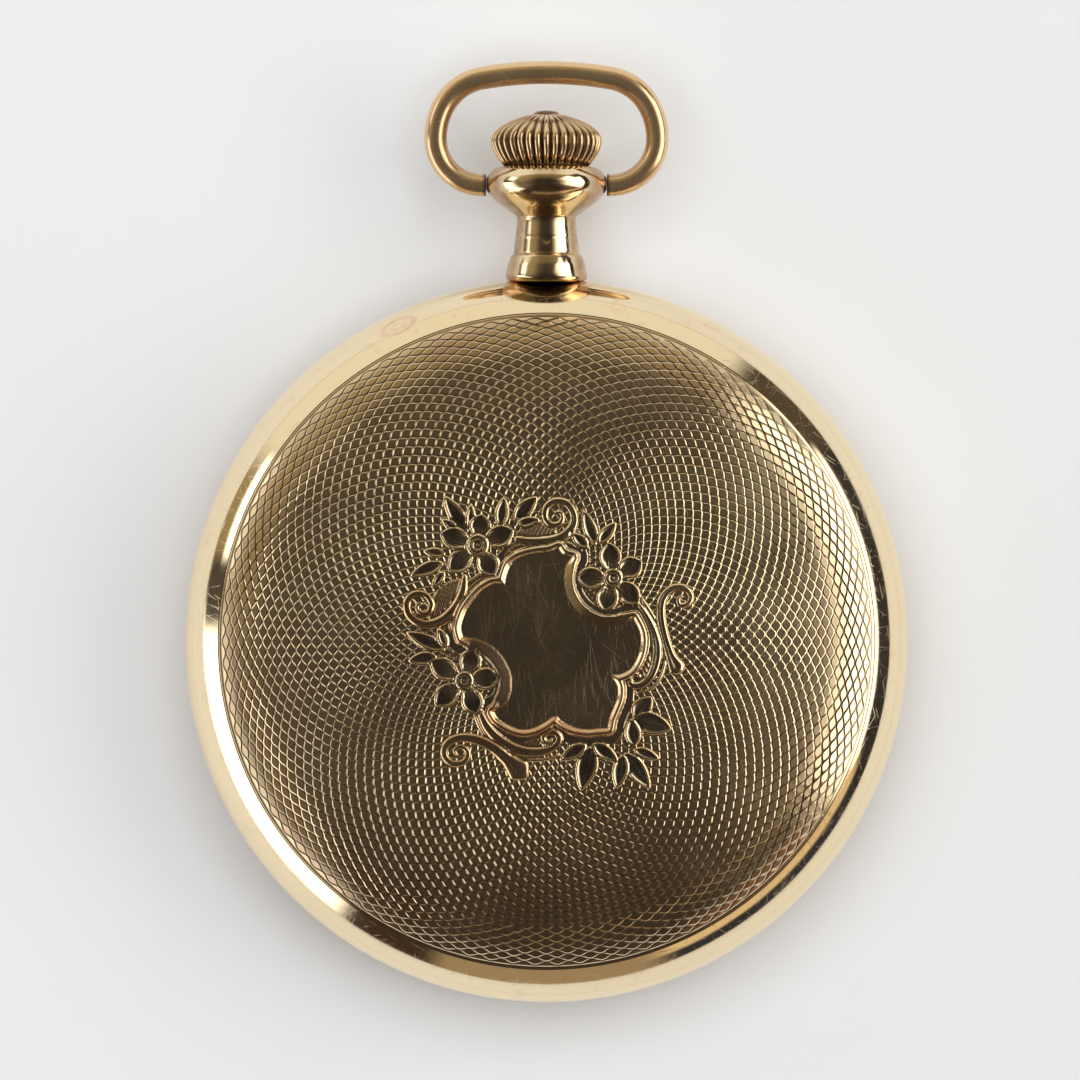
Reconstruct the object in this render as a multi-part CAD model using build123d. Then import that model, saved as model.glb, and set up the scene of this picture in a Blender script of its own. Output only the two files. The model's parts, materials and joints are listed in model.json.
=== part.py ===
"""Open-face pocket watch, 16 size: screw case, bow, keyless winding and a full lever movement.

Millimetres. The watch lies on its crystal: Z = 0 is the crystal's flat front, +Z runs to the case
back, +Y to the pendant and bow. Hands turn clockwise seen from the crystal, which is positive
about +Z. Each node is one file in parts/.
"""

import os
from math import acos, asin, atan2, cos, degrees, hypot, pi, radians, sin, sqrt, tan

from build123d import *

# ---------------------------------------------------------------- driving dimensions
CASE_R = 25.25          # widest radius of the case band
SEAM_R = 24.65          # edge of the screw back
SEAM_Z = 8.0
BACK_T = 0.6            # wall of the back
DOME_R = 19.5           # where the shallow crown of the back meets its rolled edge
DOME_A = 13.0           # slope there, degrees
EDGE_A = 51.0           # slope at the seam, degrees
STEM_Z = 5.9            # height of the stem, pendant and bow axis
BOW_Y = 31.84           # bow pivot
BOW_WIRE_R = 0.81
PIN_X = 4.24            # where the bow's wire meets the pendant's flats
PLATE_R = 21.6          # movement radius (16 size)
DIAL_Z = (3.3, 4.0)
PLATE_Z = (4.0, 6.8)
BRIDGE_Z = (9.0, 10.0)
COCK_Z = (9.35, 10.15)
BRIDGE_R = 20.2
RUN = 0.04              # radial running clearance of a pivot
CASE_BORE = 21.75

# Going train: (wheel teeth, pinion leaves, module)
CENTER_TO_THIRD = (80, 10, 0.14)
THIRD_TO_FOURTH = (75, 10, 0.125)
FOURTH_TO_ESCAPE = (70, 7, 0.11)
BARREL_TO_CENTER = (72, 12, 0.22)
CANNON_TO_MINUTE = (12, 36, 0.15)
MINUTE_TO_HOUR = (10, 40, 0.144)
SETTING_TEETH = (20, 26)
SETTING_M = 0.15
CROWN_TEETH, RATCHET_TEETH, WIND_M = 28, 44, 0.29
BEVEL_TEETH, BEVEL_R = 24, 3.3          # contrate ring under the barrel bridge
WIND_PINION_TEETH, WIND_PINION_R = 12, 1.65
FOURTH_Y = -10.5                        # seconds axis, below the centre
BARREL_DIRECTION = 40.0
PULL = 1.2                              # crown travel
CLUTCH_TRAVEL = 1.0
BALANCE_R = 6.55
ESCAPE_R = 2.4
ESCAPE_TEETH = 15

MID_MIN = (Align.CENTER, Align.CENTER, Align.MIN)


# ---------------------------------------------------------------- helpers
def disc(radius, low, high, at=(0, 0)):
    """Upright cylinder from height low to high."""
    return Pos(at[0], at[1], low) * Cylinder(radius, high - low, align=MID_MIN)


def tube(outer, inner, low, high, at=(0, 0)):
    return disc(outer, low, high, at) - disc(inner, low - 1, high + 1, at)


def block(x0, x1, y0, y1, z0, z1):
    corner = (Align.MIN, Align.MIN, Align.MIN)
    return Pos(x0, y0, z0) * Box(x1 - x0, y1 - y0, z1 - z0, align=corner)


def lathe(points, at=(0, 0)):
    """Solid of revolution about an upright axis; points are (radius, height)."""
    face = make_face(Polyline(*[(r, 0, z) for r, z in points], close=True))
    return Pos(at[0], at[1], 0) * revolve(face, Axis.Z)


def lay_along_y(shape):
    """Turns a shape made about Z so that it runs along the stem axis."""
    return Pos(0, 0, STEM_Z) * Rot(-90, 0, 0) * shape


def bar(start, end, width, low, high):
    """Straight bar between two plan points with round ends."""
    length = hypot(end[0] - start[0], end[1] - start[1])
    turn = degrees(atan2(end[1] - start[1], end[0] - start[0]))
    middle = Pos(length / 2, 0, 0) * Rectangle(length, width)
    shape = middle + Circle(width / 2) + Pos(length, 0, 0) * Circle(width / 2)
    return Pos(start[0], start[1], low) * Rot(0, 0, turn) * extrude(shape, high - low)


def polar(radius, angle, centre=(0, 0)):
    turn = radians(angle)
    return (centre[0] + radius * cos(turn), centre[1] + radius * sin(turn))


def towards(start, end, length):
    """The plan point at that length from start along the line to end."""
    span = hypot(end[0] - start[0], end[1] - start[1])
    return tuple(s + (e - s) * length / span for s, e in zip(start, end))


def bearing(start, end):
    return degrees(atan2(end[1] - start[1], end[0] - start[0]))


def involute(angle):
    return tan(angle) - angle


def gear(teeth, module, low, high, at=(0, 0), phase=0.0, shift=0.0, bore=0.0):
    """Spur gear with involute teeth; tooth 0 points along phase, in degrees."""
    pressure = radians(20)
    pitch = teeth * module / 2
    base = pitch * cos(pressure)
    root = pitch - (1.25 - shift) * module
    tip = pitch + (0.95 + shift) * module
    slack = 0.09 * module / pitch
    half = (pi / 2 + 2 * shift * tan(pressure)) / teeth - slack

    def half_angle(radius):
        reach = acos(min(1.0, base / radius))
        return half + involute(pressure) - involute(reach)

    stations = [root, max(root, base) + 0.02 * module, pitch, (pitch + tip) / 2, tip]
    widest = 0.46 * 2 * pi / teeth
    flank = [(r, min(widest, max(half_angle(max(r, base)), 0.04 / teeth))) for r in stations]
    points = []
    for tooth in range(teeth):
        centre = 2 * pi * tooth / teeth
        for radius, width in flank:
            points.append((radius * cos(centre - width), radius * sin(centre - width)))
        for radius, width in reversed(flank):
            points.append((radius * cos(centre + width), radius * sin(centre + width)))
    solid = extrude(make_face(Polyline(*points, close=True)), high - low)
    if bore:
        solid -= disc(bore, -1, high - low + 1)
    return Pos(at[0], at[1], low) * Rot(0, 0, phase) * solid


def mesh_phase(teeth_a, phase_a, teeth_b, line):
    """Phase of gear b that meshes with gear a; line is the bearing from a to b, in degrees."""
    share = ((line - phase_a) / (360 / teeth_a)) % 1.0
    return line + 180 - (0.5 - share) * 360 / teeth_b


def spoked(wheel, hub, rim, low, high, at, spokes=5, width=0.5):
    """Cuts the windows between the spokes out of a wheel."""
    window = tube(rim, hub, low - 0.1, high + 0.1, at)
    for k in range(spokes):
        end = polar(rim + 1, 360 / spokes * k, at)
        window -= bar(at, end, width, low - 0.2, high + 0.2)
    return wheel - window


def spiral_ribbon(inner, pitch, half_turns, width, low, high, at, start):
    """Flat coil spring drawn as a chain of half circles."""
    outside, inside = [], []
    x = 0.0
    for k in range(half_turns):
        radius = inner + pitch * k / 2
        side = 1 if k % 2 == 0 else -1
        for offset, chain in ((width / 2, outside), (-width / 2, inside)):
            r = radius + offset
            chain.append(ThreePointArc((x + side * r, 0), (x, side * r), (x - side * r, 0)))
        x += side * pitch / 2
    ends = [Line(outside[0] @ 0, inside[0] @ 0), Line(outside[-1] @ 1, inside[-1] @ 1)]
    face = make_face(Wire(outside + inside + ends))
    return Pos(at[0], at[1], low) * Rot(0, 0, start) * extrude(face, high - low)


def slotted_screw(at, top, head_r, head_h, shank_r, bottom):
    head = disc(head_r, top - head_h, top, at)
    slot = Pos(at[0], at[1], top) * Box(head_r * 3, head_r * 0.28, head_h * 0.8)
    return head - slot + disc(shank_r, bottom, top - head_h, at)


# ---------------------------------------------------------------- plan of the movement
CENTER = (0.0, 0.0)
FOURTH = (0.0, FOURTH_Y)


def distance(pair):
    return (pair[0] + pair[1]) / 2 * pair[2]


def meet(a, reach_a, b, reach_b):
    """Right-hand crossing of two circles whose centres both lie on x = 0."""
    gap = b[1] - a[1]
    y = (reach_a**2 - reach_b**2 + gap**2) / (2 * gap)
    return (sqrt(reach_a**2 - y**2), a[1] + y)


THIRD = meet(CENTER, distance(CENTER_TO_THIRD), FOURTH, distance(THIRD_TO_FOURTH))
BALANCE = (-11.6, -5.6)
ESCAPE = towards(FOURTH, BALANCE, distance(FOURTH_TO_ESCAPE))
PALLET = towards(ESCAPE, BALANCE, 2.8)
BARREL = polar(distance(BARREL_TO_CENTER), BARREL_DIRECTION)
WIND_GAP = (CROWN_TEETH + RATCHET_TEETH) / 2 * WIND_M
CROWN_WHEEL = (0.0, BARREL[1] + sqrt(WIND_GAP**2 - BARREL[0] ** 2))
WIND_PINION_Y = CROWN_WHEEL[1] + BEVEL_R
MINUTE = (0.0, distance(CANNON_TO_MINUTE))
SETTING = (0.0, MINUTE[1] + (CANNON_TO_MINUTE[1] + SETTING_TEETH[0]) / 2 * SETTING_M)
IDLER = (0.0, SETTING[1] + sum(SETTING_TEETH) / 2 * SETTING_M)
COCK_FOOT = (-15.6, 5.6)
CLUTCH_Y = (14.45, 16.0)
CLUTCH_GROOVE_Y = 15.1
LEVER_PIVOT = (4.2, CLUTCH_GROOVE_Y - CLUTCH_TRAVEL / 2)
CLICK = polar(8.1, -32, BARREL)
LINE_OUT = bearing(FOURTH, BALANCE)

BRIDGE_SCREWS = [polar(19.3, a) for a in (42, 78, 122, -24, -74, -112)]
PALLET_FEET = [polar(3.4, LINE_OUT + s * 90, PALLET) for s in (-1, 1)]
CASE_SCREWS = [polar(19.95, a) for a in (-7, 150)]
DIAL_FOOT_ANGLES = (100, 240)
DIAL_FEET = [polar(18.6, a) for a in DIAL_FOOT_ANGLES]
TRAIN_PIVOTS = [THIRD, FOURTH, ESCAPE]


# ---------------------------------------------------------------- case
def dome(offset):
    """Arc centres, radii and start height of the back's outline, moved inwards by offset."""
    a1, a2 = radians(DOME_A), radians(EDGE_A)
    big = DOME_R / sin(a1)
    small = (SEAM_R - DOME_R) / (sin(a2) - sin(a1))
    top = SEAM_Z + big * (1 - cos(a1)) + small * (cos(a1) - cos(a2))
    small_r = DOME_R - small * sin(a1)
    small_z = top - big * (1 - cos(a1)) - small * cos(a1)
    return (0, top - big, big - offset), (small_r, small_z, small - offset)


def arc_point(circle, angle):
    return (circle[0] + circle[2] * sin(angle), 0, circle[1] + circle[2] * cos(angle))


def back_cover():
    """Domed screw back with a thread ring inside its rim."""
    a1, a2 = radians(DOME_A), radians(EDGE_A)
    big, small = dome(0)
    big_in, small_in = dome(BACK_T)
    thread_r = 22.65
    a_in = asin((thread_r - small_in[0]) / small_in[2])
    outline = [
        ThreePointArc(arc_point(big, 0), arc_point(big, a1 / 2), arc_point(big, a1)),
        ThreePointArc(arc_point(small, a1), arc_point(small, (a1 + a2) / 2), arc_point(small, a2)),
        Line(arc_point(small, a2), (thread_r, 0, SEAM_Z)),
        Line((thread_r, 0, SEAM_Z), arc_point(small_in, a_in)),
        ThreePointArc(arc_point(small_in, a_in), arc_point(small_in, (a1 + a_in) / 2), arc_point(small_in, a1)),
        ThreePointArc(arc_point(big_in, a1), arc_point(big_in, a1 / 2), arc_point(big_in, 0)),
        Line(arc_point(big_in, 0), arc_point(big, 0)),
    ]
    return revolve(make_face(Wire(outline)), Axis.Z)


def case_band():
    """Centre ring with a spigot each side for the screw back and bezel, and a movement ledge."""
    slope = radians(EDGE_A)
    turn_r = (CASE_R - SEAM_R) / (1 - sin(slope))
    side_z = SEAM_Z - turn_r * cos(slope)
    turn = (CASE_R - turn_r, side_z, turn_r)
    half = (slope + pi / 2) / 2
    shoulder = ThreePointArc((CASE_R, 0, side_z), arc_point(turn, half), arc_point(turn, slope))
    points = [
        (SEAM_R, SEAM_Z), (22.6, SEAM_Z), (22.6, 8.6), (CASE_BORE, 8.6), (CASE_BORE, 7.45),
        (20.7, 7.45), (20.7, 6.85), (CASE_BORE, 6.85), (CASE_BORE, 3.05), (22.95, 3.05),
        (22.95, 4.4), (25.1, 4.4), (CASE_R, 4.6), (CASE_R, side_z),
    ]
    lines = Polyline(*[(r, 0, z) for r, z in points])
    band = revolve(make_face(Wire([shoulder] + list(lines.edges()))), Axis.Z)
    band -= lay_along_y(disc(1.1, 20, 26) + disc(1.45, 23.5, 26))
    for at in CASE_SCREWS:
        band -= disc(0.8, 6.7, 7.6, at)
    return band


def bezel():
    """Screw bezel whose groove holds the crystal."""
    roll = ThreePointArc((22.2, 0, 0.7), (24.3, 0, 1.75), (25.0, 0, 3.7))
    points = [
        (25.0, 3.7), (25.0, 4.35), (23.0, 4.35), (23.0, 2.85), (21.9, 2.6), (20.9, 2.4),
        (20.9, 1.72), (21.85, 1.72), (21.85, 0.78), (22.2, 0.7),
    ]
    lines = Polyline(*[(r, 0, z) for r, z in points])
    return revolve(make_face(Wire([roll] + list(lines.edges()))), Axis.Z)


def crystal():
    """Flat mineral glass with a bevelled edge."""
    return lathe([(0, 0), (17.5, 0), (21.8, 0.8), (21.8, 1.68), (17.3, 1.0), (0, 1.0)])


def pendant():
    """Turned neck and ball with a cup for the crown and a cross hole for the bow's pins."""
    waist = Spline(
        (2.02, 0, 29.6), (2.55, 0, 30.02), (3.5, 0, 30.6), (4.2, 0, 31.35), (4.27, 0, 31.9),
        tangents=((0, 0, 1), (0, 0, 1)),
    )
    points = [
        (4.27, 31.9), (4.22, 32.35), (3.75, 33.0), (3.45, 33.1), (3.25, 33.0), (3.25, 32.5),
        (1.55, 32.5), (1.55, 27.5), (1.1, 27.5), (1.1, 23.5), (1.44, 23.5), (1.44, 24.85),
        (2.1, 24.92), (2.5, 25.02), (2.75, 25.2), (2.86, 25.45), (2.84, 25.7), (2.46, 26.9),
        (2.3, 27.0), (2.02, 29.6),
    ]
    lines = Polyline(*[(r, 0, y) for r, y in points])
    body = revolve(make_face(Wire([waist] + list(lines.edges()))), Axis.Z)
    body = lay_along_y(body) - case_band() - disc(25.15, 0, 4.45)
    flat = Box(2, 4, 4)
    for side in (-1, 1):
        body -= Pos(side * 5.2, BOW_Y, STEM_Z) * flat
        pin_hole = Rot(0, 90, 0) * Cylinder(0.53, 1.4)
        body -= Pos(side * 3.9, BOW_Y, STEM_Z) * pin_hole
    return body


def pendant_sleeve():
    """Split threaded sleeve that holds the stem in the pendant."""
    sleeve = disc(1.53, 27.55, 31.4) - disc(0.9, 27, 32)
    return lay_along_y(sleeve) - block(-0.15, 0.15, 27.4, 29.5, STEM_Z, STEM_Z + 3)


def bow():
    """Oval bow bent from round wire, with a pin at each end."""
    right = [Line((PIN_X, 0), (4.5, 0))]
    for radius, turn in ((3.25, 90), (5.0, 25), (3.78, 55)):
        right.append(JernArc(right[-1] @ 1, right[-1] % 1, radius, turn))
    end = right[-1] @ 1
    crest = end.Y + end.X * tan(radians(5))
    right.append(ThreePointArc(end, (0, crest), (-end.X, end.Y)))
    left = [edge.mirror(Plane.YZ) for edge in right[:-1]]
    section = Plane(origin=(PIN_X, 0, 0), z_dir=(1, 0, 0)) * Circle(BOW_WIRE_R)
    body = sweep(section, path=Wire(right + left))
    for side in (-1, 1):
        body += Pos(side * (PIN_X - 0.4), 0, 0) * Rot(0, 90, 0) * Cylinder(0.48, 0.85)
    return Pos(0, BOW_Y, STEM_Z) * body


def crown():
    """Winding crown: flattened bun with a small end cap."""
    bun = [
        (2.6, 33.15), (3.15, 33.42), (3.62, 34.0), (3.92, 34.8), (3.8, 35.4), (3.3, 35.9),
        (2.5, 36.38), (1.5, 36.7), (0.85, 36.82),
    ]
    outline = Spline(*[(r, 0, y) for r, y in bun])
    cap = Polyline((0.85, 0, 36.82), (0.8, 0, 36.98), (0.6, 0, 37.05), (0, 0, 37.08))
    base = Polyline((0, 0, 37.08), (0, 0, 33.15), (2.6, 0, 33.15))
    body = revolve(make_face(Wire([outline] + list(cap.edges()) + list(base.edges()))), Axis.Z)
    return lay_along_y(body - disc(0.82, 32, 35.2))


def winding_stem():
    """Stem from the crown to the square that drives the winding arbor."""
    stem = disc(0.8, 23.0, 35.15) + Pos(0, 0, 19.5) * Box(0.56, 0.56, 3.6, align=MID_MIN)
    groove = tube(1.0, 0.62, 28.4, 29.2)
    return lay_along_y(stem - groove)


# ---------------------------------------------------------------- dial and hands
def dial():
    """Enamelled disc with a sunk seconds ring and two feet."""
    plate = disc(21.3, *DIAL_Z) - disc(1.25, 3, 5) - disc(0.4, 3, 5, FOURTH)
    plate -= tube(5.3, 5.2, DIAL_Z[0] - 1, DIAL_Z[0] + 0.08, FOURTH)
    for at in DIAL_FEET:
        plate += disc(0.5, DIAL_Z[1], 5.6, at)
    return plate


def spade(tip, belly, width, low, high, bore):
    """Spade hand pointing along +Y."""
    blade = Polyline((-0.28, 0), (-0.2, belly - 1.6), (0.2, belly - 1.6), (0.28, 0), close=True)
    heart = [
        ThreePointArc((0, belly - 1.7), (width, belly - 0.6), (0.12, belly + 1.4)),
        Line((0.12, belly + 1.4), (0.05, tip)),
        Line((0.05, tip), (-0.05, tip)),
        Line((-0.05, tip), (-0.12, belly + 1.4)),
        ThreePointArc((-0.12, belly + 1.4), (-width, belly - 0.6), (0, belly - 1.7)),
    ]
    boss = Circle(bore + 0.62)
    outline = make_face(blade) + make_face(Wire(heart)) + boss
    return Pos(0, 0, low) * extrude(outline, high - low) - disc(bore, low - 1, high + 1)


def seconds_hand():
    blade = bar((0, -2.2), (0, 4.2), 0.16, 2.98, 3.12) + disc(0.45, 2.98, 3.12)
    return Pos(FOURTH[0], FOURTH[1], 0) * (blade - disc(0.15, 2, 4))


# ---------------------------------------------------------------- motion work and setting
def cannon_pinion():
    body = gear(CANNON_TO_MINUTE[0], SETTING_M, 4.45, 4.82)
    body += disc(0.7, 2.0, 4.82)
    return body - disc(0.44, 1, 6)


def hour_wheel():
    phase = mesh_phase(MINUTE_TO_HOUR[0], 0, MINUTE_TO_HOUR[1], -90)
    wheel = gear(MINUTE_TO_HOUR[1], MINUTE_TO_HOUR[2], 4.12, 4.38, phase=phase, shift=-0.4)
    return wheel + disc(1.1, 2.6, 4.12) - disc(0.75, 2, 5)


def minute_wheel():
    phase = mesh_phase(CANNON_TO_MINUTE[0], 0, CANNON_TO_MINUTE[1], 90)
    wheel = gear(CANNON_TO_MINUTE[1], SETTING_M, 4.5, 4.75, MINUTE, phase)
    pinion = gear(MINUTE_TO_HOUR[0], MINUTE_TO_HOUR[2], 4.1, 4.5, MINUTE, 0, 0.4)
    return wheel + pinion - disc(0.3, 4, 5, MINUTE)


def setting_wheels():
    """The two wheels between the minute wheel and the clutch."""
    minute_phase = mesh_phase(CANNON_TO_MINUTE[0], 0, CANNON_TO_MINUTE[1], 90)
    first_phase = mesh_phase(CANNON_TO_MINUTE[1], minute_phase, SETTING_TEETH[0], 90)
    first = gear(SETTING_TEETH[0], SETTING_M, 4.5, 4.75, SETTING, first_phase, bore=0.4)
    second_phase = mesh_phase(SETTING_TEETH[0], first_phase, SETTING_TEETH[1], 90)
    second = gear(SETTING_TEETH[1], SETTING_M, 4.5, 4.75, IDLER, second_phase, bore=0.4)
    return first, second


# ---------------------------------------------------------------- plates and bridges
def main_plate():
    """Pillar plate with recesses for the barrel, motion work, keyless work and pivots."""
    plate = disc(PLATE_R, *PLATE_Z)
    plate -= disc(8.4, 5.25, 7, BARREL)
    recess = (3.4, CENTER), (3.2, MINUTE), (1.95, SETTING), (2.2, IDLER)
    for radius, at in recess:
        plate -= disc(radius, 3.9, 4.85, at)
    plate -= block(-2.05, 2.05, 12.95, WIND_PINION_Y + 0.8, 3.9, 7)
    plate -= block(-0.6, 5.4, 13.3, 16.3, 3.9, 4.8)
    plate -= lay_along_y(disc(0.66, WIND_PINION_Y, 22) + disc(0.42, 11.9, 13.5))
    plate -= disc(0.46 + RUN, 3, 8) + disc(0.6, 5.9, 7, BARREL)
    for at in (THIRD, ESCAPE, PALLET, BALANCE):
        plate -= disc(0.6, 5.6, 7, at)
    plate -= disc(0.6, 3, 7, FOURTH)
    plate -= disc(1.2, 6.5, 7, BALANCE)
    for at, post in ((MINUTE, 0.27), (SETTING, 0.36), (IDLER, 0.36)):
        plate += disc(post, 4.3, 4.9, at)
    for at in BRIDGE_SCREWS + [COCK_FOOT]:
        plate -= disc(0.47, 5.0, 7, at)
    for at in CASE_SCREWS:
        plate -= disc(0.47, 5.4, 7, at)
    for at in PALLET_FEET:
        plate -= disc(0.3, 5.9, 7, at)
    for at, angle in zip(DIAL_FEET, DIAL_FOOT_ANGLES):
        plate -= disc(0.52, 3.9, 5.65, at)
        drill = Pos(0, 0, 4.95) * Rot(0, 0, angle) * Rot(0, 90, 0) * disc(0.4, 18.6, 22)
        plate -= drill
    return plate


def bridge_blank(low, high):
    """Bridge thickness plus a foot ring that stands on the plate."""
    top = disc(BRIDGE_R, *BRIDGE_Z)
    foot = tube(BRIDGE_R, 18.4, PLATE_Z[1], BRIDGE_Z[0])
    blank = (top + foot) & block(-30, 30, low, high, 0, 20)
    blank -= disc(7.25, 0, 20, BALANCE)
    for at in CASE_SCREWS:
        blank -= disc(1.45, 0, 20, at)
    for at in BRIDGE_SCREWS:
        blank -= disc(0.47, 0, 20, at) + disc(0.95, BRIDGE_Z[1] - 0.42, 20, at)
    return blank


def barrel_bridge():
    bridge = bridge_blank(-2.2, 30)
    bridge -= disc(3.6, 0, 20, COCK_FOOT) + block(-30, -11.2, -30, COCK_FOOT[1], 0, 20)
    bridge -= disc(1.2 + RUN, 0, 20, CROWN_WHEEL) + disc(0.95 + RUN, 0, 20, BARREL)
    bridge -= disc(0.6, 0, 20, CENTER) + disc(0.34, 9.3, 20, CLICK)
    bridge -= disc(0.3, 9.3, 20, CLICK_SPRING_POST)
    return bridge


def train_bridge():
    bridge = bridge_blank(-30, -2.45)
    for at in TRAIN_PIVOTS:
        bridge -= disc(0.6, 0, 20, at)
    return bridge


def balance_cock():
    """Cock that carries the balance's upper pivot."""
    arm = loft_free_arm(COCK_FOOT, 3.1, BALANCE, 2.4, *COCK_Z)
    foot = disc(3.1, PLATE_Z[1], COCK_Z[0], COCK_FOOT)
    cock = (arm + foot) & disc(19.4, 0, 20)
    cock -= disc(0.47, 0, 20, COCK_FOOT) + disc(0.95, COCK_Z[1] - 0.42, 20, COCK_FOOT)
    return cock - disc(0.6, 0, 20, BALANCE)


def loft_free_arm(a, radius_a, b, radius_b, low, high):
    """Tapered arm around two circles, from their common tangents."""
    span = hypot(b[0] - a[0], b[1] - a[1])
    lean = acos((radius_a - radius_b) / span)
    line = radians(bearing(a, b))
    corners = []
    for centre, radius, sides in ((a, radius_a, (1, -1)), (b, radius_b, (-1, 1))):
        for side in sides:
            turn = line + side * lean
            corners.append((centre[0] + radius * cos(turn), centre[1] + radius * sin(turn)))
    web = extrude(make_face(Polyline(*corners, close=True)), high - low)
    return Pos(0, 0, low) * web + disc(radius_a, low, high, a) + disc(radius_b, low, high, b)


def pallet_cock():
    cock = bar(PALLET_FEET[0], PALLET_FEET[1], 1.5, 7.35, 7.72)
    for at in PALLET_FEET:
        cock += disc(0.75, PLATE_Z[1], 7.35, at)
        cock -= disc(0.3, 6, 8, at)
    return cock - disc(0.16, 7, 8, PALLET)


# ---------------------------------------------------------------- winding work
def barrel_parts():
    """Drum with its great wheel, the snap-in cover and the arbor."""
    drum = gear(BARREL_TO_CENTER[0], BARREL_TO_CENTER[2], 6.85, 7.2, BARREL, 0)
    drum += disc(7.3, 5.3, 7.2, BARREL)
    drum -= disc(6.75, 5.75, 7.0, BARREL) + disc(7.0, 6.95, 8, BARREL)
    drum -= disc(0.95, 5, 6, BARREL)
    cover = tube(6.98, 0.95, 6.97, 7.28, BARREL)
    arbor = disc(0.56, 5.95 - 0.6, 5.4, BARREL) + disc(0.9, 5.4, 9.99, BARREL)
    arbor = arbor + disc(1.9, 5.8, 6.9, BARREL)
    post = Pos(BARREL[0], BARREL[1], 9.99) * Box(1.1, 1.1, 0.48, align=MID_MIN)
    arbor = arbor + post - disc(0.32, 9.0, 11, BARREL)
    return drum, cover, arbor


def mainspring():
    return spiral_ribbon(2.35, 0.5, 17, 0.17, 5.8, 6.9, BARREL, 20)


def ratchet_wheel():
    line = bearing(CROWN_WHEEL, BARREL)
    phase = mesh_phase(CROWN_TEETH, 0, RATCHET_TEETH, line)
    wheel = gear(RATCHET_TEETH, WIND_M, 10.06, 10.44, BARREL, phase)
    return wheel - Pos(BARREL[0], BARREL[1], 10) * Box(1.16, 1.16, 2)


def crown_wheel():
    return gear(CROWN_TEETH, WIND_M, 10.06, 10.44, CROWN_WHEEL, 0, bore=0.5)


def winding_bevel_wheel():
    """Contrate wheel under the bridge, turned by the winding pinion."""
    low = STEM_Z + WIND_PINION_R - 0.175
    body = tube(BEVEL_R + 0.22, BEVEL_R - 0.22, low, 8.1) + disc(BEVEL_R + 0.22, 7.75, 8.1)
    half_pitch = 180 / BEVEL_TEETH
    for k in range(BEVEL_TEETH):
        gap = Pos(BEVEL_R, 0, low) * Box(1.2, 0.62, 0.8)
        body -= Rot(0, 0, 90 + 2 * half_pitch * k) * gap
    body += disc(1.2, 8.1, 10.05) - disc(0.42, 9.0, 11)
    return Pos(CROWN_WHEEL[0], CROWN_WHEEL[1], 0) * body


def click():
    """Pawl whose nose stands just clear of the ratchet teeth."""
    tip_r = RATCHET_TEETH * WIND_M / 2 + WIND_M
    nose = polar(tip_r + 0.35, -14, BARREL)
    tail = polar(10.0, -40, BARREL)
    body = bar(CLICK, nose, 0.6, 10.06, 10.4) + bar(CLICK, tail, 0.7, 10.06, 10.4)
    return body + disc(0.8, 10.06, 10.4, CLICK) - disc(0.34, 9, 11, CLICK)


CLICK_SPRING_POST = polar(11.6, -22, BARREL)


def click_spring():
    """Thin blade that presses on the click."""
    post = disc(0.55, 10.02, 10.35, CLICK_SPRING_POST)
    peg = disc(0.28, 9.35, 10.02, CLICK_SPRING_POST)
    blade = bar(CLICK_SPRING_POST, polar(8.75, -18, BARREL), 0.16, 10.06, 10.3)
    return post + peg + blade


# ---------------------------------------------------------------- keyless work on the stem axis
def winding_arbor():
    """Arbor in the plate: pivot, square for the clutch, collar and square socket."""
    arbor = disc(0.39, 12.0, 13.2) + Pos(0, 0, 13.1) * Box(0.9, 0.9, 4.4, align=MID_MIN)
    arbor += disc(0.62, 17.4, 21.5)
    arbor -= Pos(0, 0, 19.2) * Box(0.64, 0.64, 4, align=MID_MIN)
    return lay_along_y(arbor)


def dogs(low, high):
    """Four driving dogs about the stem axis."""
    ring = tube(1.25, 0.85, low, high)
    cross = Box(3, 0.5, 20) + Box(0.5, 3, 20)
    return ring & (Pos(0, 0, low) * cross)


def winding_pinion():
    teeth = Rot(0, 0, 90) * extrude(pinion_face(), 0.4)
    body = Pos(0, 0, WIND_PINION_Y - 0.2) * teeth + disc(1.25, 16.5, WIND_PINION_Y)
    body -= Pos(0, 0, 15) * Box(0.96, 0.96, 6, align=MID_MIN)
    slots = dogs(16.4, 16.8)
    clear = Box(4, 0.66, 0.6) + Box(0.66, 4, 0.6)
    body -= Pos(0, 0, 16.5) * clear & tube(1.35, 0.8, 16, 16.8)
    return lay_along_y(body)


def pinion_face():
    """Slim straight-sided teeth that run in the contrate ring."""
    root, tip, half = WIND_PINION_R - 0.2, WIND_PINION_R + 0.175, 0.12
    shape = Circle(root)
    for k in range(WIND_PINION_TEETH):
        tooth = Pos((root + tip) / 2, 0) * Rectangle(tip - root + 0.1, 2 * half)
        shape += Rot(0, 0, 360 / WIND_PINION_TEETH * k) * (Pos(0, 0) * tooth)
    return shape


def clutch():
    """Sliding pinion: dogs to the winding pinion, a lever groove, and contrate setting teeth."""
    low, high = CLUTCH_Y
    body = disc(1.6, low + 0.3, high) - tube(2, 1.05, CLUTCH_GROOVE_Y - 0.3, CLUTCH_GROOVE_Y + 0.3)
    ring = tube(1.6, 1.1, low, low + 0.3)
    for k in range(12):
        tooth = Rot(0, 0, 30 * k) * (Pos(1.35, 0, low + 0.15) * Box(0.7, 0.36, 0.3))
        body += tooth & ring
    body += dogs(high, high + 0.7)
    body -= Pos(0, 0, 13) * Box(0.96, 0.96, 6, align=MID_MIN)
    return lay_along_y(body)


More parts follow.
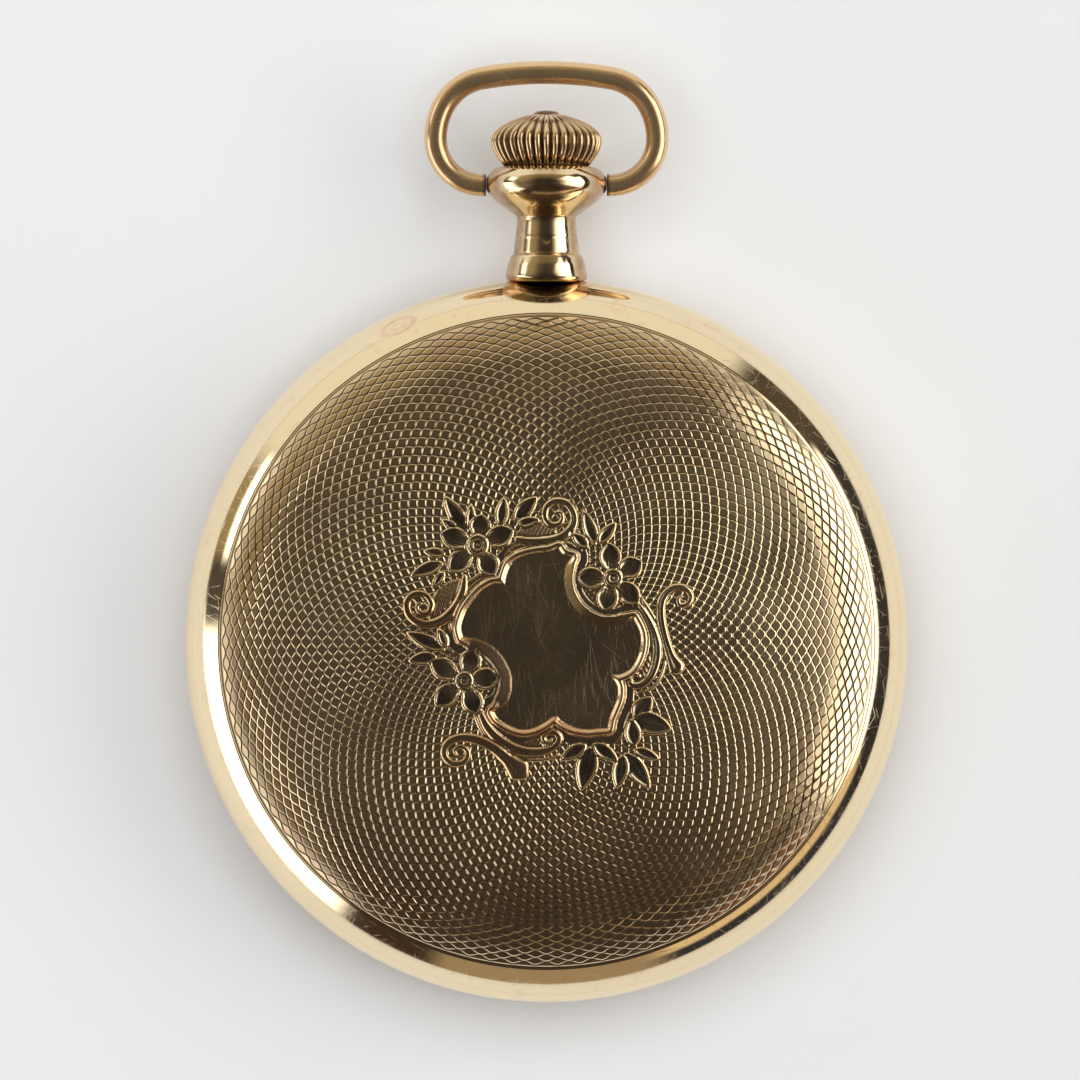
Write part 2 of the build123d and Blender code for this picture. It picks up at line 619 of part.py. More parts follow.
def clutch_lever():
    """Yoke whose tip runs in the clutch's groove."""
    tip = (0.0, CLUTCH_GROOVE_Y)
    elbow = (1.4, CLUTCH_GROOVE_Y - 0.05)
    body = bar(LEVER_PIVOT, elbow, 0.6, 4.2, 4.6) + bar(elbow, tip, 0.34, 4.2, 4.6)
    return body + disc(0.55, 4.2, 4.6, LEVER_PIVOT)


# ---------------------------------------------------------------- going train
def arbor(at, low, high, body_low, body_high, pivot=0.12, body=0.3):
    """Arbor with a pivot at each end."""
    points = [
        (0, low), (pivot, low), (pivot, body_low), (body, body_low), (body, body_high),
        (pivot, body_high), (pivot, high), (0, high),
    ]
    return lathe(points, at)


def center_wheel():
    teeth, _, module = CENTER_TO_THIRD
    wheel = gear(teeth, module, 7.6, 7.85, CENTER, 0, shift=-0.4, bore=0.62)
    return spoked(wheel, 1.3, 4.95, 7.6, 7.85, CENTER)


def center_pinion():
    """Twelve leaves driven by the barrel; the arbor carries the cannon pinion."""
    phase = mesh_phase(BARREL_TO_CENTER[0], 0, BARREL_TO_CENTER[1], bearing(BARREL, CENTER))
    leaves = gear(BARREL_TO_CENTER[1], BARREL_TO_CENTER[2], 6.83, 7.4, CENTER, phase, 0.2)
    staff = disc(0.42, 1.85, 6.83) + disc(0.6, 7.4, 8.6) + disc(0.3, 8.6, 9.95)
    return leaves + staff


def train_wheel(pair, at, low, high, rim):
    wheel = gear(pair[0], pair[2], low, high, at, 0, shift=-0.4, bore=0.32)
    return spoked(wheel, 0.85, rim, low, high, at, 5, 0.4)


def third_pinion():
    teeth, leaves, module = CENTER_TO_THIRD
    phase = mesh_phase(teeth, 0, leaves, bearing(CENTER, THIRD))
    body = gear(leaves, module, 7.45, 8.1, THIRD, phase, 0.4)
    return body + arbor(THIRD, 5.95, 9.95, 7.0, 8.9)


def fourth_pinion():
    teeth, leaves, module = THIRD_TO_FOURTH
    phase = mesh_phase(teeth, 0, leaves, bearing(THIRD, FOURTH))
    body = gear(leaves, module, 8.15, 8.8, FOURTH, phase, 0.4)
    return body + arbor(FOURTH, 2.9, 9.95, 7.0, 8.9)


def escape_pinion():
    teeth, leaves, module = FOURTH_TO_ESCAPE
    phase = mesh_phase(teeth, 0, leaves, bearing(FOURTH, ESCAPE))
    body = gear(leaves, module, 7.45, 8.0, ESCAPE, phase, 0.5)
    return body + arbor(ESCAPE, 5.95, 9.95, 6.85, 8.9, body=0.26)


def escape_wheel():
    """Fifteen club teeth."""
    points = []
    step = 360 / ESCAPE_TEETH
    for k in range(ESCAPE_TEETH):
        base = step * k
        points += [
            polar(1.75, base - 8), polar(1.75, base + 2), polar(ESCAPE_R - 0.07, base + 5.5),
            polar(ESCAPE_R, base + 9.5), polar(2.15, base + 8.2), polar(1.8, base + 10),
        ]
    wheel = extrude(make_face(Polyline(*points, close=True)), 0.2)
    wheel = Pos(ESCAPE[0], ESCAPE[1], 6.95) * wheel
    wheel -= disc(0.28, 6, 8, ESCAPE)
    return spoked(wheel, 0.6, 1.4, 6.95, 7.15, ESCAPE, 4, 0.3)


# ---------------------------------------------------------------- escapement and balance
def fork_point(along, across):
    """Plan point given along the line from the pallet to the balance, and across it."""
    turn = radians(LINE_OUT)
    return (
        PALLET[0] + along * cos(turn) - across * sin(turn),
        PALLET[1] + along * sin(turn) + across * cos(turn),
    )


PALLET_ARM = (-0.75, 1.95)     # along, across: seat of each stone
NOTCH = 3.45                   # fork end, measured from the pallet pivot


def pallet_fork():
    body = disc(0.45, 6.95, 7.15, PALLET)
    body += bar(PALLET, fork_point(NOTCH - 0.5, 0), 0.4, 6.95, 7.15)
    for side in (-1, 1):
        elbow = fork_point(0.1, side * 1.3)
        body += bar(PALLET, elbow, 0.45, 6.95, 7.15)
        body += bar(elbow, fork_point(-0.45, side * PALLET_ARM[1]), 0.45, 6.95, 7.15)
        horn = fork_point(NOTCH, side * 0.34)
        body += bar(fork_point(NOTCH - 0.5, side * 0.3), horn, 0.22, 6.95, 7.15)
    body -= disc(0.12, 6, 8, PALLET)
    for side in (-1, 1):
        body -= stone_at(side, 0.02)
    return body


def stone_at(side, grow):
    """A pallet stone, or its slot when grown."""
    along, across = PALLET_ARM
    at = fork_point(along, side * across)
    turn = LINE_OUT + side * 14
    size = 0.34 + 2 * grow
    stone = Rot(0, 0, turn) * Box(0.9 + grow, size, 0.3 + grow)
    return Pos(at[0], at[1], 7.05) * stone


def pallet_arbor():
    return arbor(PALLET, 5.95, 7.7, 6.85, 7.3, 0.11, 0.12)


def balance_wheel():
    """Two-arm bimetallic rim."""
    wheel = tube(BALANCE_R, BALANCE_R - 0.75, 7.95, 8.6, BALANCE)
    wheel += bar(polar(6.0, 70, BALANCE), polar(6.0, 250, BALANCE), 0.7, 8.2, 8.45)
    wheel += disc(1.1, 8.2, 8.45, BALANCE)
    for k in (0, 1):
        cut = polar(BALANCE_R - 0.3, 86 + 180 * k, BALANCE)
        wheel -= disc(0.16, 7, 9, cut)
    return wheel - disc(0.45, 7, 9, BALANCE)


def balance_screws():
    """Fourteen timing and compensation screws around the rim."""
    screws = []
    for k in range(14):
        angle = 76 + 12 + 360 / 14 * k
        screw = disc(0.26, BALANCE_R + 0.01, BALANCE_R + 0.38) - Pos(0, 0, BALANCE_R + 0.38) * Box(0.8, 0.08, 0.2)
        spin = Rot(0, 0, angle) * Rot(0, 90, 0) * screw
        screws.append(Pos(BALANCE[0], BALANCE[1], 8.27) * spin)
    return screws


def balance_staff():
    points = [
        (0, 5.75), (0.1, 5.75), (0.1, 6.6), (0.3, 6.7), (0.3, 7.5), (0.44, 7.5), (0.44, 8.45),
        (0.36, 8.45), (0.36, 9.2), (0.1, 9.35), (0.1, 10.1), (0, 10.1),
    ]
    return lathe(points, BALANCE)


def roller():
    """Double roller with its impulse jewel facing the fork."""
    table = disc(1.15, 7.28, 7.48, BALANCE) + disc(0.6, 6.98, 7.28, BALANCE)
    at = polar(0.98, LINE_OUT + 180, BALANCE)
    table += disc(0.15, 6.95, 7.28, at)
    return table - disc(0.31, 6, 8, BALANCE)


HAIRSPRING_R = 3.2


def hairspring():
    return spiral_ribbon(0.75, 0.29, 17, 0.07, 8.85, 9.05, BALANCE, LINE_OUT + 180)


def hairspring_stud():
    at = fork_balance(HAIRSPRING_R - 0.05, 0.0)
    return disc(0.2, 9.08, 9.34, at)


def fork_balance(radius, angle):
    return polar(radius, bearing(BALANCE, COCK_FOOT) + angle, BALANCE)


def collet():
    return tube(0.62, 0.37, 8.82, 9.08, BALANCE)


def regulator():
    """Index lever with two curb pins outside the hairspring's last coil."""
    away = bearing(COCK_FOOT, BALANCE)
    body = tube(1.9, 1.2, 10.16, 10.34, BALANCE)
    body += bar(polar(1.5, away, BALANCE), polar(3.55, away, BALANCE), 0.5, 10.16, 10.34)
    body += bar(polar(1.5, away + 180, BALANCE), polar(6.2, away + 180, BALANCE), 0.32, 10.16, 10.34)
    body -= disc(1.2, 9, 11, BALANCE)
    pin = disc(0.08, 9.1, 10.16, polar(3.5, away, BALANCE))
    return body + pin


def cap_jewel():
    """Setting of the upper balance jewel, held on the cock."""
    return tube(1.15, 0.3, 10.16, 10.4, BALANCE)


# ---------------------------------------------------------------- jewels and screws
def jewels():
    """Hole jewels pressed into the plate and bridges."""
    rings = []
    for at in (THIRD, ESCAPE, PALLET, BALANCE):
        rings.append(tube(0.59, 0.16, 5.65, 6.4, at))
    rings.append(tube(0.59, 0.17, 5.65, 6.4, FOURTH))
    for at in TRAIN_PIVOTS:
        rings.append(tube(0.59, 0.16, 9.2, 9.95, at))
    rings.append(tube(0.59, 0.34, 9.2, 9.95, CENTER))
    rings.append(tube(0.59, 0.14, 9.4, 10.14, BALANCE))
    return rings


def bridge_screws():
    screws = [slotted_screw(at, BRIDGE_Z[1] - 0.02, 0.9, 0.38, 0.45, 5.2) for at in BRIDGE_SCREWS]
    screws.append(slotted_screw(COCK_FOOT, COCK_Z[1] - 0.02, 0.9, 0.38, 0.45, 5.2))
    for at in PALLET_FEET:
        screws.append(slotted_screw(at, 7.87, 0.5, 0.14, 0.28, 6.1))
    return screws


def case_screws():
    return [slotted_screw(at, 7.86, 1.2, 0.38, 0.45, 5.6) for at in CASE_SCREWS]


def dial_foot_screws():
    screws = []
    for angle in DIAL_FOOT_ANGLES:
        screw = disc(0.38, 19.12, 21.5) - Pos(0, 0, 21.5) * Box(1, 0.14, 0.3)
        screws.append(Pos(0, 0, 4.95) * Rot(0, 0, angle) * Rot(0, 90, 0) * screw)
    return screws


# ---------------------------------------------------------------- build and write
def build():
    drum, cover, barrel_axle = barrel_parts()
    first_setting, second_setting = setting_wheels()
    return {
        "case_band": case_band(),
        "pendant": pendant(),
        "pendant_sleeve": pendant_sleeve(),
        "bow": bow(),
        "back_cover": back_cover(),
        "bezel": bezel(),
        "crystal": crystal(),
        "crown": crown(),
        "winding_stem": winding_stem(),
        "dial": dial(),
        "hour_hand": spade(11.2, 7.6, 1.25, 2.62, 2.78, 1.11),
        "minute_hand": spade(17.2, 12.6, 0.95, 2.05, 2.2, 0.71),
        "seconds_hand": seconds_hand(),
        "cannon_pinion": cannon_pinion(),
        "hour_wheel": hour_wheel(),
        "minute_wheel": minute_wheel(),
        "setting_wheel": first_setting,
        "setting_idler": second_setting,
        "main_plate": main_plate(),
        "barrel_bridge": barrel_bridge(),
        "train_bridge": train_bridge(),
        "balance_cock": balance_cock(),
        "pallet_cock": pallet_cock(),
        "barrel": drum,
        "barrel_cover": cover,
        "barrel_arbor": barrel_axle,
        "mainspring": mainspring(),
        "ratchet_wheel": ratchet_wheel(),
        "ratchet_screw": slotted_screw(BARREL, 10.78, 1.1, 0.3, 0.3, 9.3),
        "crown_wheel": crown_wheel(),
        "crown_wheel_screw": slotted_screw(CROWN_WHEEL, 10.74, 1.3, 0.28, 0.4, 9.3),
        "winding_bevel_wheel": winding_bevel_wheel(),
        "click": click(),
        "click_screw": slotted_screw(CLICK, 10.62, 0.6, 0.2, 0.31, 9.4),
        "click_spring": click_spring(),
        "winding_arbor": winding_arbor(),
        "winding_pinion": winding_pinion(),
        "clutch": clutch(),
        "clutch_lever": clutch_lever(),
        "center_wheel": center_wheel(),
        "center_pinion": center_pinion(),
        "third_wheel": train_wheel(THIRD_TO_FOURTH, THIRD, 8.35, 8.6, 4.0),
        "third_pinion": third_pinion(),
        "fourth_wheel": train_wheel(FOURTH_TO_ESCAPE, FOURTH, 7.6, 7.85, 3.2),
        "fourth_pinion": fourth_pinion(),
        "escape_wheel": escape_wheel(),
        "escape_pinion": escape_pinion(),
        "pallet_fork": pallet_fork() + pallet_arbor(),
        "pallet_stones": [stone_at(side, 0) for side in (-1, 1)],
        "balance_wheel": balance_wheel(),
        "balance_screws": balance_screws(),
        "balance_staff": balance_staff() + collet(),
        "roller": roller(),
        "hairspring": hairspring(),
        "hairspring_stud": hairspring_stud(),
        "regulator": regulator(),
        "cap_jewel": cap_jewel(),
        "jewels": jewels(),
        "bridge_screws": bridge_screws(),
        "case_screws": case_screws() + dial_foot_screws(),
    }


def main():
    os.makedirs("parts", exist_ok=True)
    for name, shape in build().items():
        solids = [s for part in shape for s in part.solids()] if isinstance(shape, list) else shape.solids()
        export_step(Compound(children=list(solids)), f"parts/{name}.step")
        print(name, len(solids))


main()
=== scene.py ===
"""Looks for the open-face pocket watch: everything is built in millimetres and scaled to metres.

Z = 0 is the crystal's flat front, +Z runs to the case back and +Y to the pendant.
"""

import json
from math import cos, degrees, pi, radians, sin

import bpy
import numpy as np
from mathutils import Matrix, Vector

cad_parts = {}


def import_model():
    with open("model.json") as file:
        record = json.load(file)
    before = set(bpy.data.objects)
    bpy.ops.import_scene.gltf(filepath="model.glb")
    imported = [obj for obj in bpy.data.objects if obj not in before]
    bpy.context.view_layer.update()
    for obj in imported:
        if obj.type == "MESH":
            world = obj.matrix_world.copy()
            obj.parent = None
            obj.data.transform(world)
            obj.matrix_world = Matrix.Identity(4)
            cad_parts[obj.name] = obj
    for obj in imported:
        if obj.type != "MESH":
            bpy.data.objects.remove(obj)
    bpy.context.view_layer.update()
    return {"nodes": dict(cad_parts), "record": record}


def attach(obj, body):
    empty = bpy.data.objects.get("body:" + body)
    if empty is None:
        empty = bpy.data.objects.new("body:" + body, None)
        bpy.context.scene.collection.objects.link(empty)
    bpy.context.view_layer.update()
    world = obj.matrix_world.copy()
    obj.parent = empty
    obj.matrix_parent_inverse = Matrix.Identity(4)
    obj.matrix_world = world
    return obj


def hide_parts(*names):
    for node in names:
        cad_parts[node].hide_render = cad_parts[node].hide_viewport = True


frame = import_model()
MM = 0.001
TAU = 2 * pi

# ---- sizes shared with the CAD
CASE_R = 25.25
SEAM_R, SEAM_Z = 24.65, 8.0  # where the back meets the band
DOME_R = 19.5  # where the flat arc of the back turns into its rim arc
STEM_Z = 5.9
BOW_Y = 31.84  # pivot of the bow
BOW_WIRE_R = 0.8
A1, A2 = radians(13), radians(51)  # lean of the back at DOME_R and at SEAM_R
BIG = DOME_R / sin(A1)  # radius of the flat arc
SMALL = (SEAM_R - DOME_R) / (sin(A2) - sin(A1))  # radius of the rim arc
TOP_Z = SEAM_Z + BIG * (1 - cos(A1)) + SMALL * (cos(A1) - cos(A2))
SMALL_R = DOME_R - SMALL * sin(A1)  # centre of the rim arc
SMALL_Z = TOP_Z - BIG * (1 - cos(A1)) - SMALL * cos(A1)
TURN_R = (CASE_R - SEAM_R) / (1 - sin(A2))  # radius of the band's shoulder
SIDE_Z = SEAM_Z - TURN_R * cos(A2)


# ---- shape helpers
def ramp01(x, start, width):
    """0 before start, 1 from start + width; a negative width runs the other way."""
    return np.clip((x - start) / width, 0, 1)


def bell(x, middle, width):
    return np.exp(-(((x - middle) / width) ** 2))


def oval(x, y, half_x, middle_y, half_y):
    """1 in the middle of an oval on the Y axis, 0 on its outline, negative outside."""
    return 1 - (x / half_x) ** 2 - ((y - middle_y) / half_y) ** 2


def arc(centre, radius, start, end, steps):
    """Points of an arc; angles in degrees from +r towards +z."""
    turn = np.radians(np.linspace(start, end, steps))
    return [(centre[0] + radius * cos(t), centre[1] + radius * sin(t)) for t in turn]


def softened(points, radius, steps=4):
    """Rounds the corners of an open outline."""
    points = [np.array(p, float) for p in points]
    out = [points[0]]
    for before, corner, after in zip(points, points[1:], points[2:]):
        a, b = before - corner, after - corner
        la, lb = np.linalg.norm(a), np.linalg.norm(b)
        cut = min(radius, 0.45 * la, 0.45 * lb)
        start, end = corner + a / la * cut, corner + b / lb * cut
        for t in np.linspace(0, 1, steps + 1):
            out.append((1 - t) ** 2 * start + 2 * t * (1 - t) * corner + t * t * end)
    out.append(points[-1])
    return out


def ring_quads(rows, count, closed=True):
    """Quads between rows of count vertices that run round; closed joins the last row to the first."""
    i = np.arange(rows if closed else rows - 1)[:, None]
    k = np.arange(count)[None, :]
    j, m = (i + 1) % rows, (k + 1) % count
    return np.stack([i * count + k, i * count + m, j * count + m, j * count + k], -1).reshape(-1, 4)


def lathe(profile, count=256, ring=False):
    """Turns (radius, height) points about Z. A ring's outline is closed; any other ends on the axis."""
    profile = np.asarray(profile, float)
    angle = np.linspace(0, TAU, count, endpoint=False)
    body = profile if ring else profile[1:-1]
    rows = len(body)
    verts = np.empty((rows, count, 3))
    verts[..., 0] = body[:, :1] * np.cos(angle)
    verts[..., 1] = body[:, :1] * np.sin(angle)
    verts[..., 2] = body[:, 1:2]
    verts = verts.reshape(-1, 3)
    faces = ring_quads(rows, count, ring).tolist()
    if not ring:
        first, last = len(verts), len(verts) + 1
        verts = np.vstack([verts, [0, 0, profile[0, 1]], [0, 0, profile[-1, 1]]])
        rim = (rows - 1) * count
        for k in range(count):
            m = (k + 1) % count
            faces += [(first, m, k), (last, rim + k, rim + m)]
    return verts, faces


def upright(points):
    """Points made about Z, laid along the stem axis."""
    x, y, z = np.asarray(points, float).T
    return np.column_stack([x, z, STEM_Z - y])


def new_object(name, data):
    obj = bpy.data.objects.new(name, data)
    bpy.context.scene.collection.objects.link(obj)
    return obj


def new_piece(name, verts, faces, material, body, replaced=(), slot="gold", sharp=30):
    """Makes a mesh object from vertices in mm; faces is a list, or an N x 4 array of quads."""
    mesh = bpy.data.meshes.new(name)
    verts = np.asarray(verts, float) * MM
    if isinstance(faces, np.ndarray):
        mesh.vertices.add(len(verts))
        mesh.vertices.foreach_set("co", verts.astype(np.float32).ravel())
        mesh.loops.add(faces.size)
        mesh.loops.foreach_set("vertex_index", faces.astype(np.int32).ravel())
        mesh.polygons.add(len(faces))
        mesh.polygons.foreach_set("loop_start", np.arange(0, faces.size, 4, dtype=np.int32))
        mesh.update(calc_edges=True)
    else:
        mesh.from_pydata(verts.tolist(), [], faces)
        mesh.update()
    mesh.validate()
    mesh.shade_smooth()
    if sharp:
        mesh.set_sharp_from_angle(angle=radians(sharp))
    mesh.materials.append(material)
    obj = new_object(name, mesh)
    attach(obj, body)
    if replaced:
        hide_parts(*replaced)
    return obj


def add_attributes(obj, **fields):
    """Stores one value for each vertex under each name, for the material to read."""
    for name, values in fields.items():
        layer = obj.data.attributes.new(name, "FLOAT", "POINT")
        layer.data.foreach_set("value", np.asarray(values, np.float32))


# ---- material helpers
class Tree:
    """Short-hand for building a node tree."""

    def __init__(self, tree):
        self.tree = tree

    def add(self, kind, inputs=None, **settings):
        node = self.tree.nodes.new("ShaderNode" + kind)
        for key, value in settings.items():
            setattr(node, key, value)
        for key, value in (inputs or {}).items():
            self.feed(node.inputs[key], value)
        return node

    def feed(self, socket, value):
        if isinstance(value, bpy.types.NodeSocket):
            self.tree.links.new(value, socket)
        else:
            socket.default_value = value

    def ramp(self, value, low, high, start=0.0, end=1.0, **settings):
        inputs = {"Value": value, "From Min": low, "From Max": high, "To Min": start, "To Max": end}
        return self.add("MapRange", inputs, **settings).outputs[0]

    def math(self, operation, *values):
        inputs = dict(enumerate(values))
        return self.add("Math", inputs, operation=operation).outputs[0]

    def times(self, a, b):
        return self.math("MULTIPLY", a, b)

    def plus(self, base, a, b):
        """base + a * b"""
        return self.math("ADD", base, self.times(a, b))

    def mix(self, factor, a, b):
        return self.add("Mix", {"Factor": factor, 6: a, 7: b}, data_type="RGBA").outputs[2]


class Nodes(Tree):
    """The tree of one new material. Scales of textures are in features per millimetre."""

    def __init__(self, name):
        self.material = bpy.data.materials.new(name)
        self.material.use_nodes = True
        super().__init__(self.material.node_tree)
        self.coords = self.add("TexCoord").outputs["Object"]

    def attribute(self, name):
        return self.add("Attribute", attribute_name=name).outputs["Fac"]

    def mapped(self, scale, turn=(0, 0, 0)):
        """Object coordinates turned, then scaled, all alike or along each axis."""
        scale = (scale, scale, scale) if isinstance(scale, (int, float)) else scale
        inputs = {
            "Vector": self.coords,
            "Scale": tuple(MM / s for s in scale),
            "Rotation": tuple(radians(t) for t in turn),
        }
        return self.add("Mapping", inputs, vector_type="TEXTURE").outputs[0]

    def noise(self, scale, detail=3.0, turn=(0, 0, 0), rough=0.5):
        inputs = {"Vector": self.mapped(scale, turn), "Scale": 1.0, "Detail": detail, "Roughness": rough}
        return self.add("TexNoise", inputs).outputs[0]

    def patches(self, scale, detail, low, high, start=0.0, end=1.0):
        """Soft patches: start where the noise is under low, end where it is over high."""
        return self.ramp(self.noise(scale, detail), low, high, start, end)

    def scratches(self, density=0.68, turns=(12, 57, 101, 150), fine=16.0, stretch=45):
        """Sparse fine scratches in several directions, 0 to 1; a lower density draws more."""
        total = None
        for turn in turns:
            stretched = self.noise((fine, fine / stretch, fine / stretch), 2.0, (0, 0, turn), 0.6)
            line = self.ramp(stretched, density, density + 0.05)
            total = line if total is None else self.math("MAXIMUM", total, line)
        return total

    def bump(self, height, strength, distance, normal=None):
        """Bump of height times distance in mm, over the bump of normal."""
        inputs = {"Height": height, "Strength": strength, "Distance": distance * MM}
        if normal is not None:
            inputs["Normal"] = normal
        return self.add("Bump", inputs).outputs[0]

    def finish(self, colour, roughness, normal=None, **inputs):
        shader = self.tree.nodes["Principled BSDF"]
        if normal:
            inputs["Normal"] = normal
        for key, value in {"Base_Color": colour, "Roughness": roughness, **inputs}.items():
            self.feed(shader.inputs[key.replace("_", " ")], value)
        return self.material


def rgb(r, g, b):
    return (r, g, b, 1.0)


# ---- materials
GOLD_LIGHT = rgb(0.95, 0.79, 0.54)
GOLD_PALE = rgb(0.93, 0.76, 0.49)
GOLD_ROSE = rgb(0.86, 0.62, 0.41)
GOLD_WORN = rgb(0.72, 0.42, 0.24)
# base metal through rubbed gold on the border; painted reflection on the lower part of the relief
COPPER = rgb(0.70, 0.36, 0.17)
COPPER_TONES = rgb(0.84, 0.60, 0.34), rgb(0.66, 0.42, 0.23)
# brown for painted reflection and painted shade on the pendant and the bow, and the darker steps of the
# pendant's neck
SHADE_BROWN = rgb(0.40, 0.235, 0.125)
# near black: painted shade under the pendant's collar, and the dark joint lines at the bow's ends
SHADE_AND_SOOT = rgb(0.022, 0.015, 0.010)
# grime in grooves and hollows; painted shade at the crown's foot
GRIME_AND_SHADE = rgb(0.10, 0.065, 0.04)
# patina in the relief's hollows; painted shade on the left lobe's bevel
PATINA_AND_SHADE = rgb(0.17, 0.145, 0.12)
PLATE_SLANT = 32  # degrees, bands of the nickel plates


def gold(
    name, engraved=False, relief=False, worn_and_shade=None, rough=0.13,
    tones=(GOLD_PALE, GOLD_ROSE), grime_and_shade_range=(0.10, 0.45), dull=0.0,
):
    """Gold-filled metal: warm patches, light scratches, uneven polish.

    The colour under the gold shows where the copper attribute is set: base metal where the gold is
    rubbed through on the border, and painted reflection and painted shade on the pendant, the bow and
    the relief. A near-black colour paints shade under the pendant's collar and dark joint lines at the
    bow's ends. engraved lays grime into the attribute groove, with painted shade at the crown's foot.
    relief darkens by the patina attribute, which also paints shade on the left lobe's bevel, and
    scratches the plate.
    """
    n = Nodes(name)
    tone = n.mix(n.times(n.patches(0.09, 4.0, 0.38, 0.68), 0.55), *tones)
    tone = n.mix(n.times(n.patches(0.7, 5.0, 0.62, 0.78), 0.35), tone, GOLD_WORN)
    haze = n.patches(0.25, 5.0, 0.3, 0.75, rough * 0.7, rough * 1.7)
    normal = n.bump(n.noise(0.35, 2.0), 0.25, 0.02)
    normal = n.bump(n.noise(9.0, 3.0), 0.10, 0.004, normal)
    if worn_and_shade:
        copper, soot = n.attribute("copper"), n.attribute("soot")
        # base metal where the gold is rubbed through, and painted reflection and painted shade on pendant,
        # bow and relief
        tone = n.mix(n.times(copper, n.patches(1.1, 4.0, 0.3, 0.65, 0.6, 1.0)), tone, worn_and_shade)
        # painted shade: near black under the pendant's collar; dark joint lines at the bow's ends
        tone = n.mix(soot, tone, SHADE_AND_SOOT)
        haze = n.plus(haze, n.math("ADD", copper, soot), 0.12)
    if engraved:
        # grime in grooves and hollows, with painted shade at the crown's foot
        grime_and_shade = n.times(n.attribute("groove"), n.patches(0.5, 3.0, 0.3, 0.7, *grime_and_shade_range))
        tone = n.mix(grime_and_shade, tone, GRIME_AND_SHADE)
    if relief:
        # patina in the relief's hollows, with painted shade on the left lobe's bevel
        dark = n.times(n.attribute("patina"), n.patches(1.6, 4.0, 0.25, 0.7, 0.55, 1.0))
        tone = n.mix(dark, tone, PATINA_AND_SHADE)
        plate = n.attribute("plate")
        along = n.scratches(0.665, (4, 13, -6), 26.0, 170)
        across = n.scratches(0.695, (24, -28, 51), 18.0, 140)
        rubbed = n.times(n.math("MAXIMUM", along, across), plate)
        brushed = n.noise((18.0, 0.5, 0.5), 3.0, (0, 0, 5), 0.7)
        normal = n.bump(n.times(brushed, plate), 0.2, 0.0025, normal)
        normal = n.bump(rubbed, 0.55, -0.003, normal)
        haze = n.plus(n.plus(haze, dark, 0.14), rubbed, 0.14)
    scratch = n.scratches()
    normal = n.bump(scratch, 0.35, -0.003, normal)
    return n.finish(tone, n.plus(haze, scratch, 0.12), normal, Metallic=1.0 - dull)


def metal(name, colour, second, rough, grain=6.0):
    """Plain machined metal with slight tone change, grain and scratches."""
    n = Nodes(name)
    tone = n.mix(n.patches(0.3, 4.0, 0.35, 0.7), colour, second)
    lines = n.scratches(0.66, (33, 78, 122, 171))
    roughness = n.plus(n.patches(0.8, 4.0, 0.3, 0.7, rough * 0.75, rough * 1.35), lines, 0.1)
    normal = n.bump(n.noise(grain, 3.0), 0.2, 0.004)
    normal = n.bump(lines, 0.3, -0.002, normal)
    return n.finish(tone, roughness, normal, Metallic=1.0)


def striped_plate():
    """Nickel plate with slanted bands of fine brushing."""
    n = Nodes("nickel_striped")
    inputs = {"Vector": n.mapped(1.0, (0, 0, PLATE_SLANT)), "Scale": 0.16, "Distortion": 0.0}
    wave = n.add("TexWave", inputs, wave_profile="SAW").outputs["Fac"]
    fine = n.noise((0.25, 14.0, 1.0), 3.0, (0, 0, PLATE_SLANT + 90))
    tone = n.mix(n.ramp(wave, 0.0, 1.0, 0.1, 0.8), rgb(0.78, 0.77, 0.74), rgb(0.60, 0.59, 0.57))
    tone = n.mix(n.patches(0.4, 5.0, 0.55, 0.8, 0.0, 0.35), tone, rgb(0.52, 0.45, 0.33))
    roughness = n.ramp(wave, 0.0, 1.0, 0.22, 0.38)
    roughness = n.math("ADD", roughness, n.ramp(fine, 0.3, 0.7, -0.06, 0.08))
    normal = n.bump(wave, 0.5, 0.02)
    normal = n.bump(fine, 0.35, 0.004, normal)
    return n.finish(tone, roughness, normal, Metallic=1.0)


def enamel():
    """White enamel with fine hairlines under a glossy coat."""
    n = Nodes("enamel_white")
    tone = n.mix(n.patches(0.15, 4.0, 0.35, 0.7), rgb(0.86, 0.85, 0.80), rgb(0.80, 0.78, 0.71))
    hair = n.ramp(n.noise((3.0, 0.1, 3.0), 4.0, (0, 0, 38), 0.7), 0.70, 0.73)
    tone = n.mix(n.times(hair, 0.25), tone, rgb(0.45, 0.42, 0.36))
    normal = n.bump(n.noise(0.4, 2.0), 0.15, 0.01)
    rough = n.patches(1.2, 4.0, 0.3, 0.7, 0.10, 0.20)
    return n.finish(tone, rough, normal, Coat_Weight=0.6, Coat_Roughness=0.05)


def smooth(name, tone, other, spread, rough, bump, **settings):
    """Two tones, uneven gloss and a slightly uneven surface; spread and rough go to patches."""
    n = Nodes(name)
    tone = n.mix(n.patches(*spread), tone, other)
    scale, detail, strength, distance = bump
    normal = n.bump(n.noise(scale, detail), strength, distance)
    return n.finish(tone, n.patches(*rough), normal, **settings)


def glass():
    """Clear crystal with faint scratches."""
    n = Nodes("crystal_glass")
    normal = n.bump(n.scratches(0.71, (26, 71, 115, 164)), 0.15, -0.001)
    rough = n.patches(0.6, 4.0, 0.4, 0.8, 0.0, 0.06)
    return n.finish(rgb(0.97, 0.985, 0.98), rough, normal, IOR=1.5, Transmission_Weight=1.0)


def blued():
    """Heat-blued steel, brushed lengthwise."""
    n = Nodes("blued_steel")
    tone = n.mix(n.patches(0.5, 4.0, 0.3, 0.7), rgb(0.02, 0.045, 0.22), rgb(0.07, 0.06, 0.30))
    lines = n.noise((0.4, 12.0, 12.0), 3.0, (0, 0, 8))
    rough = n.ramp(lines, 0.3, 0.7, 0.14, 0.30)
    return n.finish(tone, rough, n.bump(lines, 0.2, 0.003), Metallic=1.0)


